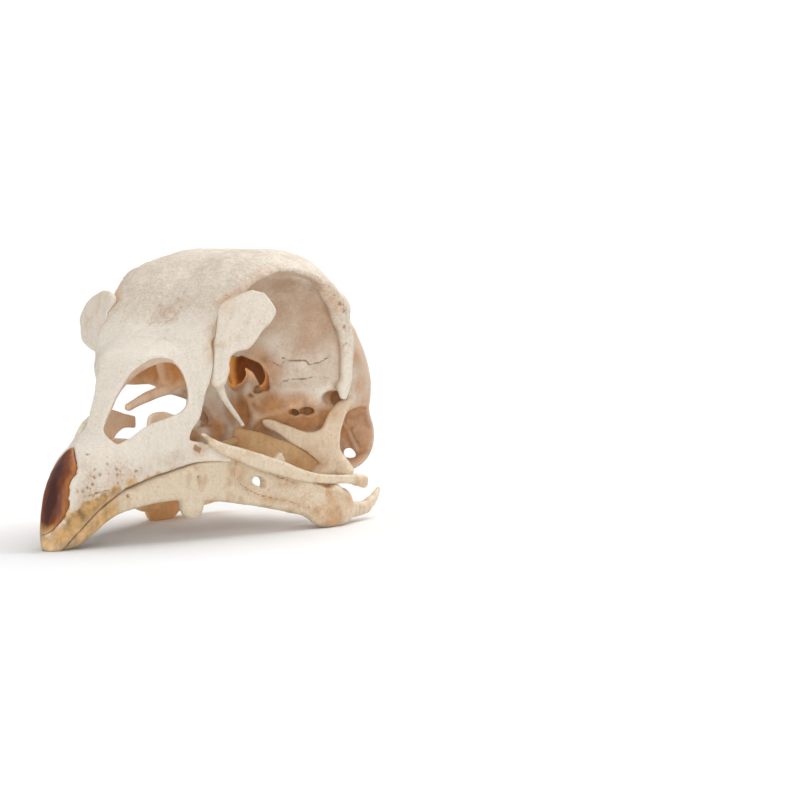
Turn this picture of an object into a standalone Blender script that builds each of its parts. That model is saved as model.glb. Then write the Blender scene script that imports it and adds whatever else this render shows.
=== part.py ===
"""Skull of a large domestic cock, life size, jaws closed, resting on the tip of the bill
and on the two angles of the lower jaw.

Frame: origin on the floor under the middle of the skull's box, +Z up, the bill points to -Y,
+X is the bird's own left side.  Rows of sizes are in millimetres and become metres when a
mesh is made.
"""
import math

import bmesh
import bpy
from mathutils import Euler, Matrix, Vector

# ------------------------------------------------------------------ driving dimensions (mm)
MM = 0.001
JOIN_GAP = 0.3              # clearance between neighbouring bones
VOXEL = 0.40                # grain of the fused bone
HINGE_Y, HINGE_Z = -11.4, 28.6          # bending line between bill and forehead, on the midline
HINGE_SLOPE = math.radians(49)          # the bill leans forward by this much at that line
NASAL_BAR_Y = -9.8          # rear edge of the bars behind the nostrils
HORN_THICKNESS = 0.8        # what is left of the horn sheath
SEPTUM_HALF = 0.75          # half thickness of the wall between the eyes
ORBIT_CENTRE = (14.0, 4.8, 25.3)
ORBIT_RADII = (13.2, 13.2, 12.7)
EAR_CENTRE = (13.5, 24.8, 12.7)
EAR_RADII = (5.2, 4.9, 4.4)
FLOOR_HALF = 60.0           # half size of the block that trims the resting flats
ROWS_MIDDLE_Y = -1.52       # where the middle of the skull's box lies in the rows below

# triangles each bone is brought down to
TRIANGLES = {
    "cranium": 2700,
    "upper_bill": 1500,
    "horn_sheath": 300,
    "mandible": 1450,
    "lacrimal": 260,
    "jugal": 170,
    "quadrate": 340,
    "pterygoid": 110,
    "palatine": 170,
}

BONE_WHITE = (0.80, 0.72, 0.58)
BONE_GREY = (0.62, 0.54, 0.44)
BONE_OCHRE = (0.66, 0.52, 0.34)
HORN_BROWN = (0.10, 0.028, 0.012)

# half outlines of the cranium, from the bottom middle over the side to the top middle:
# (distance along the skull, [(out, up), ...])
CRANIUM_SECTIONS = [
    (-12.5, [(0, 27.2), (4.5, 27.2), (7.2, 27.0), (8.5, 27.2), (8.2, 27.9), (4.5, 28.7), (0, 28.5)]),
    (-9.0, [(0, 27.4), (5, 27.6), (8.6, 28.0), (10.3, 29.8), (9.9, 31.1), (5, 32.0), (0, 31.6)]),
    (-5.0, [(0, 22.0), (5, 22.0), (9, 26.0), (10.8, 33.5), (10.3, 35.1), (5, 36.2), (0, 35.6)]),
    (0.0, [(0, 15.0), (3, 15.0), (7, 20.0), (11.7, 35.5), (11.2, 37.9), (5, 39.2), (0, 38.5)]),
    (5.0, [(0, 14.0), (2.5, 14.0), (7, 19.0), (13.2, 34.8), (12.7, 38.3), (6, 40.6), (0, 40.2)]),
    (10.0, [(0, 13.0), (2.5, 13.2), (7, 18.0), (14.6, 33.0), (13.9, 37.4), (7.5, 40.7), (0, 40.9)]),
    (15.0, [(0, 11.0), (3.5, 11.3), (9.5, 18.0), (15.5, 28.8), (15.1, 35.1), (8.9, 39.9), (0, 40.7)]),
    (20.0, [(0, 9.5), (5, 9.6), (11.5, 15.5), (15.1, 24.5), (13.1, 31.8), (8.0, 37.6), (0, 39.2)]),
    (25.0, [(0, 8.5), (6, 8.5), (11.5, 12.0), (14.4, 21.0), (12.4, 28.3), (6.8, 34.4), (0, 36.3)]),
    (29.0, [(0, 9.5), (6, 9.5), (10, 12.0), (12.4, 18.5), (10.9, 25.0), (5.8, 30.2), (0, 31.8)]),
    (32.0, [(0, 12.5), (4, 12.8), (7, 15.0), (8.6, 19.0), (7.4, 23.5), (4, 26.3), (0, 27.0)]),
    (33.6, [(0, 16.5), (1.5, 16.7), (3, 18.0), (3.6, 19.5), (3, 21.2), (1.5, 22.5), (0, 22.8)]),
]

# half outlines of the upper bill: bottom middle, cutting edge, lower side, upper side,
# shoulder, beside the ridge, ridge
BILL_SECTIONS = [
    (-36.9, [(0, -0.2), (0.5, -0.2), (0.8, 0.3), (0.9, 1.1), (0.7, 1.8), (0.3, 2.2), (0, 2.3)]),
    (-35.8, [(0, -0.2), (1.2, -0.4), (1.7, 0.8), (1.9, 2.6), (1.6, 4.2), (0.8, 5.6), (0, 5.9)]),
    (-34.0, [(0, 2.6), (2.4, 1.8), (3.0, 3.0), (2.9, 5.5), (2.4, 7.8), (1.2, 9.4), (0, 9.9)]),
    (-30.0, [(0, 6.0), (3.8, 5.3), (4.6, 6.6), (4.3, 9.4), (3.3, 11.8), (1.6, 13.1), (0, 13.4)]),
    (-26.0, [(0, 8.4), (5.4, 7.9), (6.0, 9.4), (5.5, 11.8), (4.3, 13.8), (2.2, 15.7), (0, 16.1)]),
    (-23.6, [(0, 9.2), (6.2, 8.8), (6.7, 10.4), (6.2, 13.3), (4.9, 16.5), (2.7, 19.5), (0, 20.1)]),
    (-21.5, [(0, 9.8), (6.8, 9.5), (7.2, 11.1), (6.9, 14.6), (5.8, 18.9), (3.5, 22.7), (0, 23.5)]),
    (-19.0, [(0, 10.2), (7.4, 10.0), (7.9, 11.6), (7.7, 15.6), (6.9, 21.0), (4.8, 25.3), (0, 26.1)]),
    (-15.5, [(0, 10.8), (8.1, 10.7), (8.6, 12.3), (8.6, 17.6), (8.3, 24.0), (5.0, 27.0), (0, 27.5)]),
    (-12.3, [(0, 11.0), (8.7, 11.2), (9.2, 12.8), (9.6, 18.0), (9.4, 26.2), (5, 28.7), (0, 29.1)]),
    (-9.6, [(0, 11.4), (9.1, 11.6), (9.5, 13.0), (9.9, 18.5), (10.3, 28.6), (5, 30.8), (0, 31.0)]),
    (-4.0, [(0, 11.8), (9.3, 12.0), (9.7, 13.2), (10.3, 20.0), (10.8, 34.0), (5, 36.5), (0, 36.5)]),
]

# the empty nose inside the bill, open behind and below
NOSE_SECTIONS = [
    (-25.6, [(0, 13.2), (0.6, 13.2), (1.2, 13.4), (1.4, 13.7), (1.2, 14.1), (0.6, 14.4), (0, 14.4)]),
    (-22.5, [(0, 5.0), (4.6, 5.0), (5.4, 9.0), (5.1, 13.4), (3.8, 16.8), (1.8, 19.4), (0, 20.0)]),
    (-19.0, [(0, 5.0), (5.6, 5.0), (6.4, 9.5), (6.4, 14.6), (5.5, 19.8), (3.4, 23.2), (0, 24.2)]),
    (-15.5, [(0, 5.0), (6.4, 5.0), (7.2, 10.0), (7.2, 16.8), (6.9, 22.6), (3.9, 25.2), (0, 25.8)]),
    (-12.3, [(0, 5.0), (7.0, 5.0), (7.9, 10.5), (8.2, 17.6), (8.0, 25.0), (4.4, 27.2), (0, 27.5)]),
    (-3.0, [(0, 5.0), (9.0, 5.0), (10.6, 10.5), (11.0, 18.0), (11.2, 29.6), (5.0, 32.6), (0, 32.6)]),
]

# the open space in front of the eyes, under the forehead
FOREHEAD_HOLLOW = [
    (-16.0, [(0, 6.0), (6.0, 6.0), (9.0, 8.0), (10.5, 14.0), (9.8, 22.0), (5, 25.0), (0, 25.2)]),
    (-8.0, [(0, 6.0), (6.0, 6.0), (10.5, 8.0), (12.5, 16.0), (9.2, 28.5), (5, 30.6), (0, 30.4)]),
    (-4.0, [(0, 6.0), (6.0, 6.0), (10.5, 8.0), (12.5, 16.0), (9.6, 31.8), (5, 34.0), (0, 33.6)]),
    (0.0, [(0, 6.0), (6.0, 6.0), (10.5, 8.0), (12.5, 16.0), (10.0, 33.0), (5, 36.0), (0, 36.0)]),
    (5.0, [(0, 6.0), (4.0, 6.0), (8.0, 8.0), (9.5, 16.0), (8.0, 30.0), (4, 35.0), (0, 35.0)]),
    (9.0, [(0, 10.0), (1.0, 10.0), (2.0, 12.0), (3.0, 16.0), (3.0, 25.0), (1.5, 30.0), (0, 32.0)]),
]

# nostril, seen square to its own opening: (back, up) from its middle
NOSTRIL_CENTRE = (5.2, -19.6, 20.0)
NOSTRIL_BACK = (0.86, 0.51, 0.0)
NOSTRIL = [
    (-5.8, -2.9), (-5.1, -1.2), (-4.4, 0.6), (-2.6, 3.7), (0.3, 5.9), (3.1, 5.8),
    (5.1, 2.6), (5.4, 0.0), (3.1, -2.1), (-1.2, -4.2), (-4.0, -6.6), (-5.8, -5.2),
]

# outline of the horn strip seen from the front: (to the bird's left, up)
HORN_FRONT = [
    (-1.0, 14.6), (0.2, 13.1), (1.7, 11.0), (1.6, 9.2), (1.9, 7.8), (2.1, 6.0), (1.6, 4.2),
    (0.3, 2.6), (-1.2, 2.4), (-2.0, 4.5), (-2.5, 8.0), (-2.7, 11.0), (-2.2, 13.6),
]

# the bone in front of the eye, in the plane of its plate: the wing's free edge on each side, then the foot
LACRIMAL_CENTRE = (13.6, -6.6, 30.6)
LACRIMAL_RIGHT, LACRIMAL_UP = (0.86, 0.40, -0.10), (0.02, 0.25, 0.97)
LACRIMAL_WING = {
    "L": [(-4.2, 2.7), (-2.4, 3.75), (-0.4, 5.0), (1.0, 4.9), (2.6, 3.9), (3.5, 2.9), (3.7, 2.1), (3.4, 1.2),
          (2.1, -0.7), (0.9, -3.0), (-0.7, -3.9), (-1.4, -4.2)],
    "R": [(-5.0, 3.0), (-3.3, 4.3), (-0.9, 4.2), (1.8, 3.2), (3.2, 1.9), (3.7, 0.4), (3.0, -1.15), (2.3, -2.7),
          (1.1, -3.5), (-0.3, -4.2), (-1.4, -4.6)],
}
LACRIMAL_FOOT = [
    (-1.9, -5.2), (-1.8, -7.1), (-2.4, -9.1), (-4.2, -9.3), (-4.3, -5.6), (-4.8, -2.0), (-4.7, 1.3),
]

# blade of the quadrate: the spike into the orbit, the upright and the foot
QUADRATE_BLADE = [
    (-11.4, 3.9), (-11.0, 4.2), (-9.4, 3.8), (-7.4, 3.1), (-5.1, 2.1), (-3.3, 1.8), (-1.75, 2.4), (-0.9, 4.2),
    (0.2, 5.4), (1.3, 6.2), (2.3, 6.8), (2.8, 6.1), (1.9, 4.6), (1.2, 2.75), (0.8, 0.1), (1.2, -1.3), (2.3, -2.7),
    (2.6, -4.0), (2.3, -4.8), (0.2, -4.9), (-2.4, -4.6), (-3.0, -3.0), (-4.2, -1.6), (-6.2, -0.2),
    (-8.5, 1.4), (-10.4, 2.4),
]

# how much lower the right half of the lower jaw hangs: (distance along the skull, drop)
RIGHT_SAG = [(-36, 0), (-20, 0), (-12, 0.5), (-4, 1.1), (4, 1.3), (9, 0.9), (14, 0), (20, -0.4), (27, -0.9), (34, -0.9)]
SAG_FROM, SAG_FULL = 2.0, 6.0           # the drop grows between these distances from the middle

# the small windows through the lower jaw: (out, up) of each, and their common oval
JAW_WINDOWS = [(11.3, 7.3), (-11.3, 6.1)]
WINDOW_OVAL = [(1.15 * math.cos(k * math.pi / 5), 0.75 * math.sin(k * math.pi / 5)) for k in range(10)]


# ------------------------------------------------------------------ drawing helpers
def smooth(rows, steps):
    """Rows of numbers on a smooth curve through the given rows."""
    ends = [[2 * a - b for a, b in zip(rows[0], rows[1])], [2 * a - b for a, b in zip(rows[-1], rows[-2])]]
    line = [ends[0]] + [list(row) for row in rows] + [ends[1]]
    result = []
    for i in range(1, len(line) - 2):
        for k in range(steps):
            result.append(blend_rows(line[i - 1:i + 3], k / steps))
    return result + [list(rows[-1])]


def smooth_loop(rows, steps):
    """Points on a smooth closed curve through the given points."""
    count = len(rows)
    result = []
    for i in range(count):
        four = [rows[(i + k) % count] for k in (-1, 0, 1, 2)]
        result += [blend_rows(four, k / steps) for k in range(steps)]
    return result


def blend_rows(four, t):
    """Catmull-Rom blend between the two middle rows."""
    return [
        0.5 * (2 * b + (c - a) * t + (2 * a - 5 * b + 4 * c - d) * t ** 2 + (3 * b - a - 3 * c + d) * t ** 3)
        for a, b, c, d in zip(*four)
    ]


def mesh_object(name, bm):
    """Turns a bmesh in millimetres into an object in metres with its faces pointing out."""
    bmesh.ops.recalc_face_normals(bm, faces=bm.faces)
    bmesh.ops.scale(bm, vec=(MM, MM, MM), verts=bm.verts)
    mesh = bpy.data.meshes.new(name)
    bm.to_mesh(mesh)
    bm.free()
    obj = bpy.data.objects.new(name, mesh)
    bpy.context.scene.collection.objects.link(obj)
    return obj


def skin_rings(name, rings):
    """A closed body over rings of points, all of the same count."""
    bm = bmesh.new()
    loops = [[bm.verts.new(point) for point in ring] for ring in rings]
    for first, second in zip(loops, loops[1:]):
        for i in range(len(first)):
            j = (i + 1) % len(first)
            bm.faces.new((first[i], first[j], second[j], second[i]))
    bm.faces.new(loops[0])
    bm.faces.new(loops[-1])
    return mesh_object(name, bm)


def hull_of_sections(name, sections, along=4, around=3):
    """A body lofted through mirrored half outlines that stand across the skull."""
    flat = [[y] + [value for point in outline for value in point] for y, outline in sections]
    rings = []
    for row in smooth(flat, along):
        half = [(max(x, 0.0), z) for x, z in zip(row[1::2], row[2::2])]
        outline = half + [(-x, z) for x, z in reversed(half[1:-1])]
        rings.append([Vector((x, row[0], z)) for x, z in smooth_loop(outline, around)])
    return skin_rings(name, rings)


def ball(name, centre, radii, tilt=0.0):
    """An ellipsoid; tilt turns it about the X axis, in degrees."""
    bm = bmesh.new()
    bmesh.ops.create_uvsphere(bm, u_segments=28, v_segments=16, radius=1.0)
    place = Matrix.Translation(centre) @ Euler((math.radians(tilt), 0, 0)).to_matrix().to_4x4()
    bmesh.ops.transform(bm, matrix=place @ Matrix.Diagonal((*radii, 1.0)), verts=bm.verts)
    return mesh_object(name, bm)


def strap(name, rows, side=(1, 0, 0), steps=3, corners=10):
    """A bar of changing oval section: rows of x, y, z, half width along side, half thickness."""
    line = smooth(rows, steps)
    rings = []
    for i, (x, y, z, wide, thick) in enumerate(line):
        before = Vector(line[max(i - 1, 0)][:3])
        after = Vector(line[min(i + 1, len(line) - 1)][:3])
        along = (after - before).normalized()
        across = (Vector(side) - along * along.dot(side)).normalized()
        normal = along.cross(across)
        centre = Vector((x, y, z))
        ring = []
        for k in range(corners):
            angle = 2 * math.pi * k / corners
            ring.append(centre + across * wide * math.cos(angle) + normal * thick * math.sin(angle))
        if i == 0:
            rings.append([centre - along * min(wide, thick) * 0.6 + (p - centre) * 0.5 for p in ring])
        rings.append(ring)
        if i == len(line) - 1:
            rings.append([centre + along * min(wide, thick) * 0.6 + (p - centre) * 0.5 for p in ring])
    return skin_rings(name, rings)


def plate(name, centre, right, up, outline, half_thickness, steps=4):
    """A flat plate with a smooth outline, drawn in its own plane from its centre."""
    x_axis = Vector(right).normalized()
    y_axis = (Vector(up) - x_axis * x_axis.dot(up)).normalized()
    z_axis = x_axis.cross(y_axis)
    curve = bpy.data.curves.new(name, "CURVE")
    curve.dimensions = "2D"
    curve.fill_mode = "BOTH"
    curve.extrude = half_thickness * MM
    points = smooth_loop(outline, steps) if steps > 1 else outline
    spline = curve.splines.new("POLY")
    spline.points.add(len(points) - 1)
    for point, (u, v) in zip(spline.points, points):
        point.co = (u * MM, v * MM, 0, 1)
    spline.use_cyclic_u = True
    drawn = bpy.data.objects.new(name, curve)
    bpy.context.scene.collection.objects.link(drawn)
    frame = Matrix((x_axis, y_axis, z_axis)).transposed().to_4x4()
    drawn.matrix_world = Matrix.Translation(Vector(centre) * MM) @ frame
    bpy.context.view_layer.update()
    solid = as_mesh(name, drawn)
    return solid


def as_mesh(name, drawn):
    """The evaluated shape of an object as a plain closed mesh in world space."""
    view = bpy.context.evaluated_depsgraph_get()
    mesh = bpy.data.meshes.new_from_object(drawn.evaluated_get(view))
    mesh.transform(drawn.matrix_world)
    bpy.data.objects.remove(drawn)
    bm = bmesh.new()
    bm.from_mesh(mesh)
    bmesh.ops.remove_doubles(bm, verts=bm.verts, dist=0.00001)
    bmesh.ops.recalc_face_normals(bm, faces=bm.faces)
    bm.to_mesh(mesh)
    bm.free()
    solid = bpy.data.objects.new(name, mesh)
    bpy.context.scene.collection.objects.link(solid)
    return solid


def mirrored(obj, name):
    """The same body on the bird's other side."""
    copy = bpy.data.objects.new(name, obj.data.copy())
    copy.data.transform(Matrix.Diagonal((-1, 1, 1, 1)))
    copy.data.flip_normals()
    bpy.context.scene.collection.objects.link(copy)
    return copy


def across(obj):
    """Moves a body to the bird's other side."""
    obj.data.transform(Matrix.Diagonal((-1, 1, 1, 1)))
    obj.data.flip_normals()
    return obj


def both(obj):
    """A body and its mirror image."""
    return [obj, mirrored(obj, obj.name + "_other")]


# ------------------------------------------------------------------ working helpers
def applied(obj):
    """The object with its modifiers made part of its mesh."""
    bpy.context.view_layer.update()
    view = bpy.context.evaluated_depsgraph_get()
    mesh = bpy.data.meshes.new_from_object(obj.evaluated_get(view))
    obj.modifiers.clear()
    old = obj.data
    obj.data = mesh
    bpy.data.meshes.remove(old)
    return obj


def even(obj):
    """Gives a body an even skin of small faces, with no folds or overlaps left inside."""
    grain = obj.modifiers.new("grain", "REMESH")
    grain.mode = "VOXEL"
    grain.voxel_size = VOXEL * MM


def fused(name, pieces, rounds=2):
    """One bone out of overlapping bodies, with softened joins."""
    bm = bmesh.new()
    for piece in pieces:
        bm.from_mesh(piece.data)
        bpy.data.objects.remove(piece)
    mesh = bpy.data.meshes.new(name)
    bm.to_mesh(mesh)
    bm.free()
    obj = bpy.data.objects.new(name, mesh)
    bpy.context.scene.collection.objects.link(obj)
    even(obj)
    soft = obj.modifiers.new("soft", "SMOOTH")
    soft.factor = 0.5
    soft.iterations = rounds
    return applied(obj)


def carved(obj, cutters):
    """The bone with each cutter taken out of it; the cutters are put away as guides."""
    for cutter in cutters:
        cut = obj.modifiers.new("cut", "BOOLEAN")
        cut.operation = "DIFFERENCE"
        cut.solver = "EXACT"
        cut.object = cutter
    applied(obj)
    for cutter in cutters:
        put_away(cutter)
    return obj


def kept_inside(obj, keeper):
    """What the bone and the keeper share."""
    share = obj.modifiers.new("share", "BOOLEAN")
    share.operation = "INTERSECT"
    share.solver = "EXACT"
    share.object = keeper
    applied(obj)
    put_away(keeper)
    return obj


def put_away(cutter):
    """Cutters stay in their own collection, unseen."""
    for home in list(cutter.users_collection):
        home.objects.unlink(cutter)
    guides.objects.link(cutter)
    cutter.hide_render = True
    cutter.display_type = "WIRE"


def grown(obj, by, name):
    """A copy of a body, larger by the given distance all over."""
    copy = bpy.data.objects.new(name, obj.data.copy())
    bpy.context.scene.collection.objects.link(copy)
    push = copy.modifiers.new("push", "DISPLACE")
    push.mid_level = 0.0
    push.strength = by * MM
    if by < 0:
        even(copy)
    return applied(copy)


def largest_body(obj):
    """Drops crumbs that a cut left loose."""
    bm = bmesh.new()
    bm.from_mesh(obj.data)
    left = set(bm.verts)
    bodies = []
    while left:
        stack = [left.pop()]
        body = set(stack)
        while stack:
            for edge in stack.pop().link_edges:
                for vert in edge.verts:
                    if vert in left:
                        left.discard(vert)
                        body.add(vert)
                        stack.append(vert)
        bodies.append(body)
    bodies.sort(key=len)
    crumbs = [vert for body in bodies[:-1] for vert in body]
    bmesh.ops.delete(bm, geom=crumbs, context="VERTS")
    bm.to_mesh(obj.data)
    bm.free()
    return obj


def thinned(obj, triangles, rounds=2):
    """Evens a bone's surface and brings it down to about the given number of triangles."""
    even(obj)
    soft = obj.modifiers.new("soft", "SMOOTH")
    soft.factor = 0.5
    soft.iterations = rounds
    applied(obj)
    bm = bmesh.new()
    bm.from_mesh(obj.data)
    bmesh.ops.triangulate(bm, faces=bm.faces)
    count = len(bm.faces)
    bm.to_mesh(obj.data)
    bm.free()
    if count > triangles:
        fewer = obj.modifiers.new("fewer", "DECIMATE")
        fewer.ratio = triangles / count
        fewer.use_collapse_triangulate = True
        applied(obj)
    return largest_body(obj)


def clear_of(obj, neighbours):
    """Trims a bone so that it keeps the join gap to each neighbour."""
    for neighbour in neighbours:
        carved(obj, [grown(neighbour, JOIN_GAP, obj.name + "_clears_" + neighbour.name)])
    return largest_body(obj)


def sagging(obj):
    """Lets the right half of the lower jaw hang lower, as RIGHT_SAG says."""
    for vert in obj.data.vertices:
        out, along = -vert.co.x / MM, vert.co.y / MM
        t = min(max((out - SAG_FROM) / (SAG_FULL - SAG_FROM), 0.0), 1.0)
        for (a, low), (b, high) in zip(RIGHT_SAG, RIGHT_SAG[1:]):
            if a <= along < b:
                drop = low + (high - low) * (along - a) / (b - a)
                vert.co.z -= drop * t * t * (3 - 2 * t) * MM
    return obj


def material(name, colour, roughness):
    """A plain finish for one kind of bone or horn."""
    made = bpy.data.materials.new(name)
    made.use_nodes = True
    shader = made.node_tree.nodes["Principled BSDF"]
    shader.inputs["Base Color"].default_value = (*colour, 1.0)
    shader.inputs["Roughness"].default_value = roughness
    shader.inputs["Metallic"].default_value = 0.0
    return made


def named(obj, name, finish):
    """Gives a finished bone its name, finish and place in the skull's collection."""
    obj.name = name
    obj.data.name = name
    obj.data.materials.clear()
    obj.data.materials.append(finish)
    for home in list(obj.users_collection):
        home.objects.unlink(obj)
    skull.objects.link(obj)
    return obj


def half_space(name, centre, up):
    """A large block that fills everything beyond centre in the direction up."""
    size = FLOOR_HALF
    middle = Vector(centre) + Vector(up).normalized() * size
    outline = [(-size, -size), (size, -size), (size, size), (-size, size)]
    return plate(name, middle, (1, 0, 0), Vector(up).cross(Vector((1, 0, 0))), outline, size, steps=1)


# ------------------------------------------------------------------ the bones
def make_cranium():
    shell = hull_of_sections("cranium_shell", CRANIUM_SECTIONS)
    carved(shell, both(ball("orbit_cut", ORBIT_CENTRE, ORBIT_RADII)))
    carved(shell, [hull_of_sections("forehead_cut", FOREHEAD_HOLLOW)])
    septum_side = [(-8.8, 31), (-8.6, 22.3), (-2.5, 20.2), (3, 17.2), (7, 13.5), (16, 13), (17, 25), (12, 38), (2, 38)]
    pieces = [
        shell,
        plate("septum", (0, 0, 0), (0, 1, 0), (0, 0, 1), septum_side, SEPTUM_HALF),
        strap("spur", [
            (0, 1.0, 19.2, 0.7, 0.9), (0, -4.0, 20.2, 0.65, 0.8), (0, -9.0, 20.6, 0.6, 0.7),
            (0, -13.0, 19.9, 0.6, 0.6), (0, -16.8, 18.7, 0.5, 0.5)]),
        strap("rostrum", [
            (0, -12, 12.6, 0.9, 1.0), (0, 0, 13.6, 1.1, 1.4), (0, 9, 13.4, 1.7, 1.9),
            (0, 17, 12, 3.4, 2.5), (0, 24, 10.8, 6.2, 2.3)]),
        ball("condyle", (0, 32.2, 12.6), (1.7, 1.8, 1.5)),
    ]
    pieces += both(plate("nose_roof_wall", (4.2, -6.8, 26), (1, 0.05, 0), (0, 0.1, 1), [
        (-4.6, -4.6), (-1, -4.4), (3.0, -4.6), (5.4, -4.2), (6, -1), (6, 6), (-4.6, 6)], 0.55))
    pieces += both(strap("temporal_bar", [
        (14.4, 13.2, 35.0, 1.0, 1.2), (15.0, 16.2, 32, 1.0, 1.3), (15.3, 17.6, 27, 0.9, 1.2),
        (15.3, 17.4, 22, 0.8, 1.1), (15.2, 16.6, 19.4, 0.6, 0.8)]))
    pieces += both(ball("temple", (14.5, 16.7, 32.2), (1.2, 1.5, 2.2)))
    pieces += both(ball("ear_wing", (9.6, 26.0, 12.6), (4.2, 5.6, 5.3)))
    bone = fused("cranium", pieces)
    cuts = both(ball("ear_cut", EAR_CENTRE, EAR_RADII))
    cuts += both(ball("orbit_rear_cut", (10.3, 9.0, 30.0), (5.0, 6.0, 5.6)))
    cuts += both(ball("orbit_corner", (12.3, 18.3, 18.7), (1.35, 2.4, 1.25)))
    cuts += both(strap("ear_window", [
        (13.2, 21.6, 10.3, 0.7, 0.9), (10.0, 27.0, 9.9, 0.75, 1.0), (5.6, 34.4, 9.4, 0.8, 1.1)], side=(0, 0, 1)))
    cuts += [lacrimal_plate("lacrimal_seat_L", "L", 1.3, 1.8)]
    cuts += [across(lacrimal_plate("lacrimal_seat_R", "R", 1.3, 1.8))]
    cuts += [ball("neck_opening", (0, 34.5, 17.2), (3.6, 6.0, 4.0), tilt=20)]
    cuts += both(ball("nerve_opening", (1.5, 10.0, 22.6), (1.8, 1.9, 2.9)))
    cuts += [ball("nerve_hollow", (0, 13.5, 22.2), (3.0, 4.2, 3.2))]
    carved(bone, cuts)
    return thinned(bone, TRIANGLES["cranium"])


def make_bill():
    outer = hull_of_sections("bill_outer", BILL_SECTIONS)
    carved(outer, [hull_of_sections("nose", NOSE_SECTIONS)])
    pieces = [outer]
    pieces += both(strap("palate_shelf", [
        (3.0, -24, 12.4, 0.8, 2.4), (5.0, -17, 15.0, 0.6, 1.7), (5.6, -11.5, 17.4, 0.5, 0.9)], side=(1, -0.4, 0)))
    pieces += [plate("nose_floor", (0, -24, 12.4), (1, 0, 0), (0, 1, 0), [
        (-4, -3), (4, -3), (5, 4.5), (3.5, 4.8), (0, 4), (-3.5, 4.8), (-5, 4.5)], 0.8)]
    bone = fused("upper_bill", pieces)
    up_view = (-0.03, 0.05, 1.0)
    cuts = both(plate("nostril", NOSTRIL_CENTRE, NOSTRIL_BACK, up_view, NOSTRIL, 6.0, steps=3))
    cuts += both(plate("side_gap", (9.5, -9, 20), (0, 1, 0), (0, 0, 1), [
        (-0.9, 9.5), (-1.2, 5.0), (-2.7, 0.8), (-3.6, -2.6), (-5.2, -4.8), (-4.2, -6.2), (6, -6.6), (6, 9.5)], 6.0))
    hinge_normal = (0, math.sin(HINGE_SLOPE), math.cos(HINGE_SLOPE))
    cuts += [half_space("hinge_cut", (0, HINGE_Y, HINGE_Z), (0, hinge_normal[1], hinge_normal[2]))]
    cuts += [half_space("rear_cut", (0, NASAL_BAR_Y, 20), (0, 1, 0))]
    for cut in cuts:
        carved(bone, [cut])
    return thinned(bone, TRIANGLES["upper_bill"])


def make_horn(bill):
    """What is left of the horn sheath: a strip over the ridge of the tip."""
    sheath = fused("horn_sheath", [hull_of_sections("tip_outer", BILL_SECTIONS[:7])], rounds=0)
    core = grown(sheath, -HORN_THICKNESS, "horn_core")
    kept_inside(sheath, plate("horn_area", (0, -34.0, 0), (1, 0, 0), (0, 0, 1), HORN_FRONT, 8.0, steps=3))
    carved(sheath, [core])
    largest_body(sheath)
    thinned(sheath, TRIANGLES["horn_sheath"])
    clear_of(bill, [sheath])
    return sheath


def lacrimal_plate(name, side, forward, half_thickness):
    """The plate in front of the eye as if on the left, moved forward along its normal."""
    normal = Vector(LACRIMAL_RIGHT).cross(Vector(LACRIMAL_UP)).normalized()
    return plate(name, Vector(LACRIMAL_CENTRE) + normal * forward, LACRIMAL_RIGHT, LACRIMAL_UP,
                 LACRIMAL_WING[side] + LACRIMAL_FOOT, half_thickness)


def make_lacrimal(side):
    """The bone in front of the eye; on the right side the end of its needle is broken off."""
    needle = [
        (10.4, -9.2, 27, 1.0, 0.7), (10.1, -9.6, 23, 0.85, 0.6), (9.6, -7.0, 20, 0.65, 0.5),
        (9.1, -1.4, 15.8, 0.45, 0.45)]
    pieces = [
        lacrimal_plate("wing", side, 0, 0.55),
        strap("needle", needle if side == "L" else needle[:3], side=(0.3, 0.95, 0)),
    ]
    return thinned(fused("lacrimal", pieces, rounds=1), TRIANGLES["lacrimal"])


def make_quadrate():
    pieces = [
        plate("blade", (12.6, 18.0, 12.0), (0.68, 0.73, 0), (0, 0, 1), QUADRATE_BLADE, 0.6),
        strap("pillar", [
            (13.4, 18.9, 17.4, 0.9, 0.8), (12.6, 18.1, 14.0, 0.8, 0.9), (12.4, 17.8, 10.5, 1.1, 1.1),
            (13.1, 17.8, 8.6, 2.1, 1.2)], side=(0.68, 0.73, 0)),
        ball("outer_knuckle", (14.4, 18.6, 7.9), (1.1, 1.5, 1.0)),
        ball("inner_knuckle", (11.4, 16.2, 7.9), (1.6, 1.5, 1.0)),
    ]
    return thinned(fused("quadrate", pieces, rounds=1), TRIANGLES["quadrate"])


def make_pterygoid():
    bone = fused("pterygoid", [strap("rod", [
        (3.2, 5.6, 13.3, 1.5, 0.6), (5.2, 8.8, 12.3, 1.7, 0.6), (7.6, 12.2, 10.6, 1.85, 0.65),
        (9.3, 14.5, 9.4, 1.7, 0.7), (10.6, 15.9, 8.6, 1.1, 0.6)], side=(0, 0, 1))], rounds=1)
    return thinned(bone, TRIANGLES["pterygoid"])


def make_palatine():
    bone = fused("palatine", [strap("blade", [
        (3.4, -26, 11.2, 0.9, 0.6), (3.6, -18, 11.3, 1.0, 0.6), (3.8, -10, 11.3, 1.3, 0.6),
        (3.6, -3, 11.8, 1.7, 0.6), (2.9, 4.8, 12.6, 1.4, 0.7)], side=(1, 0, 0.4))], rounds=1)
    return thinned(bone, TRIANGLES["palatine"])


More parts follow.
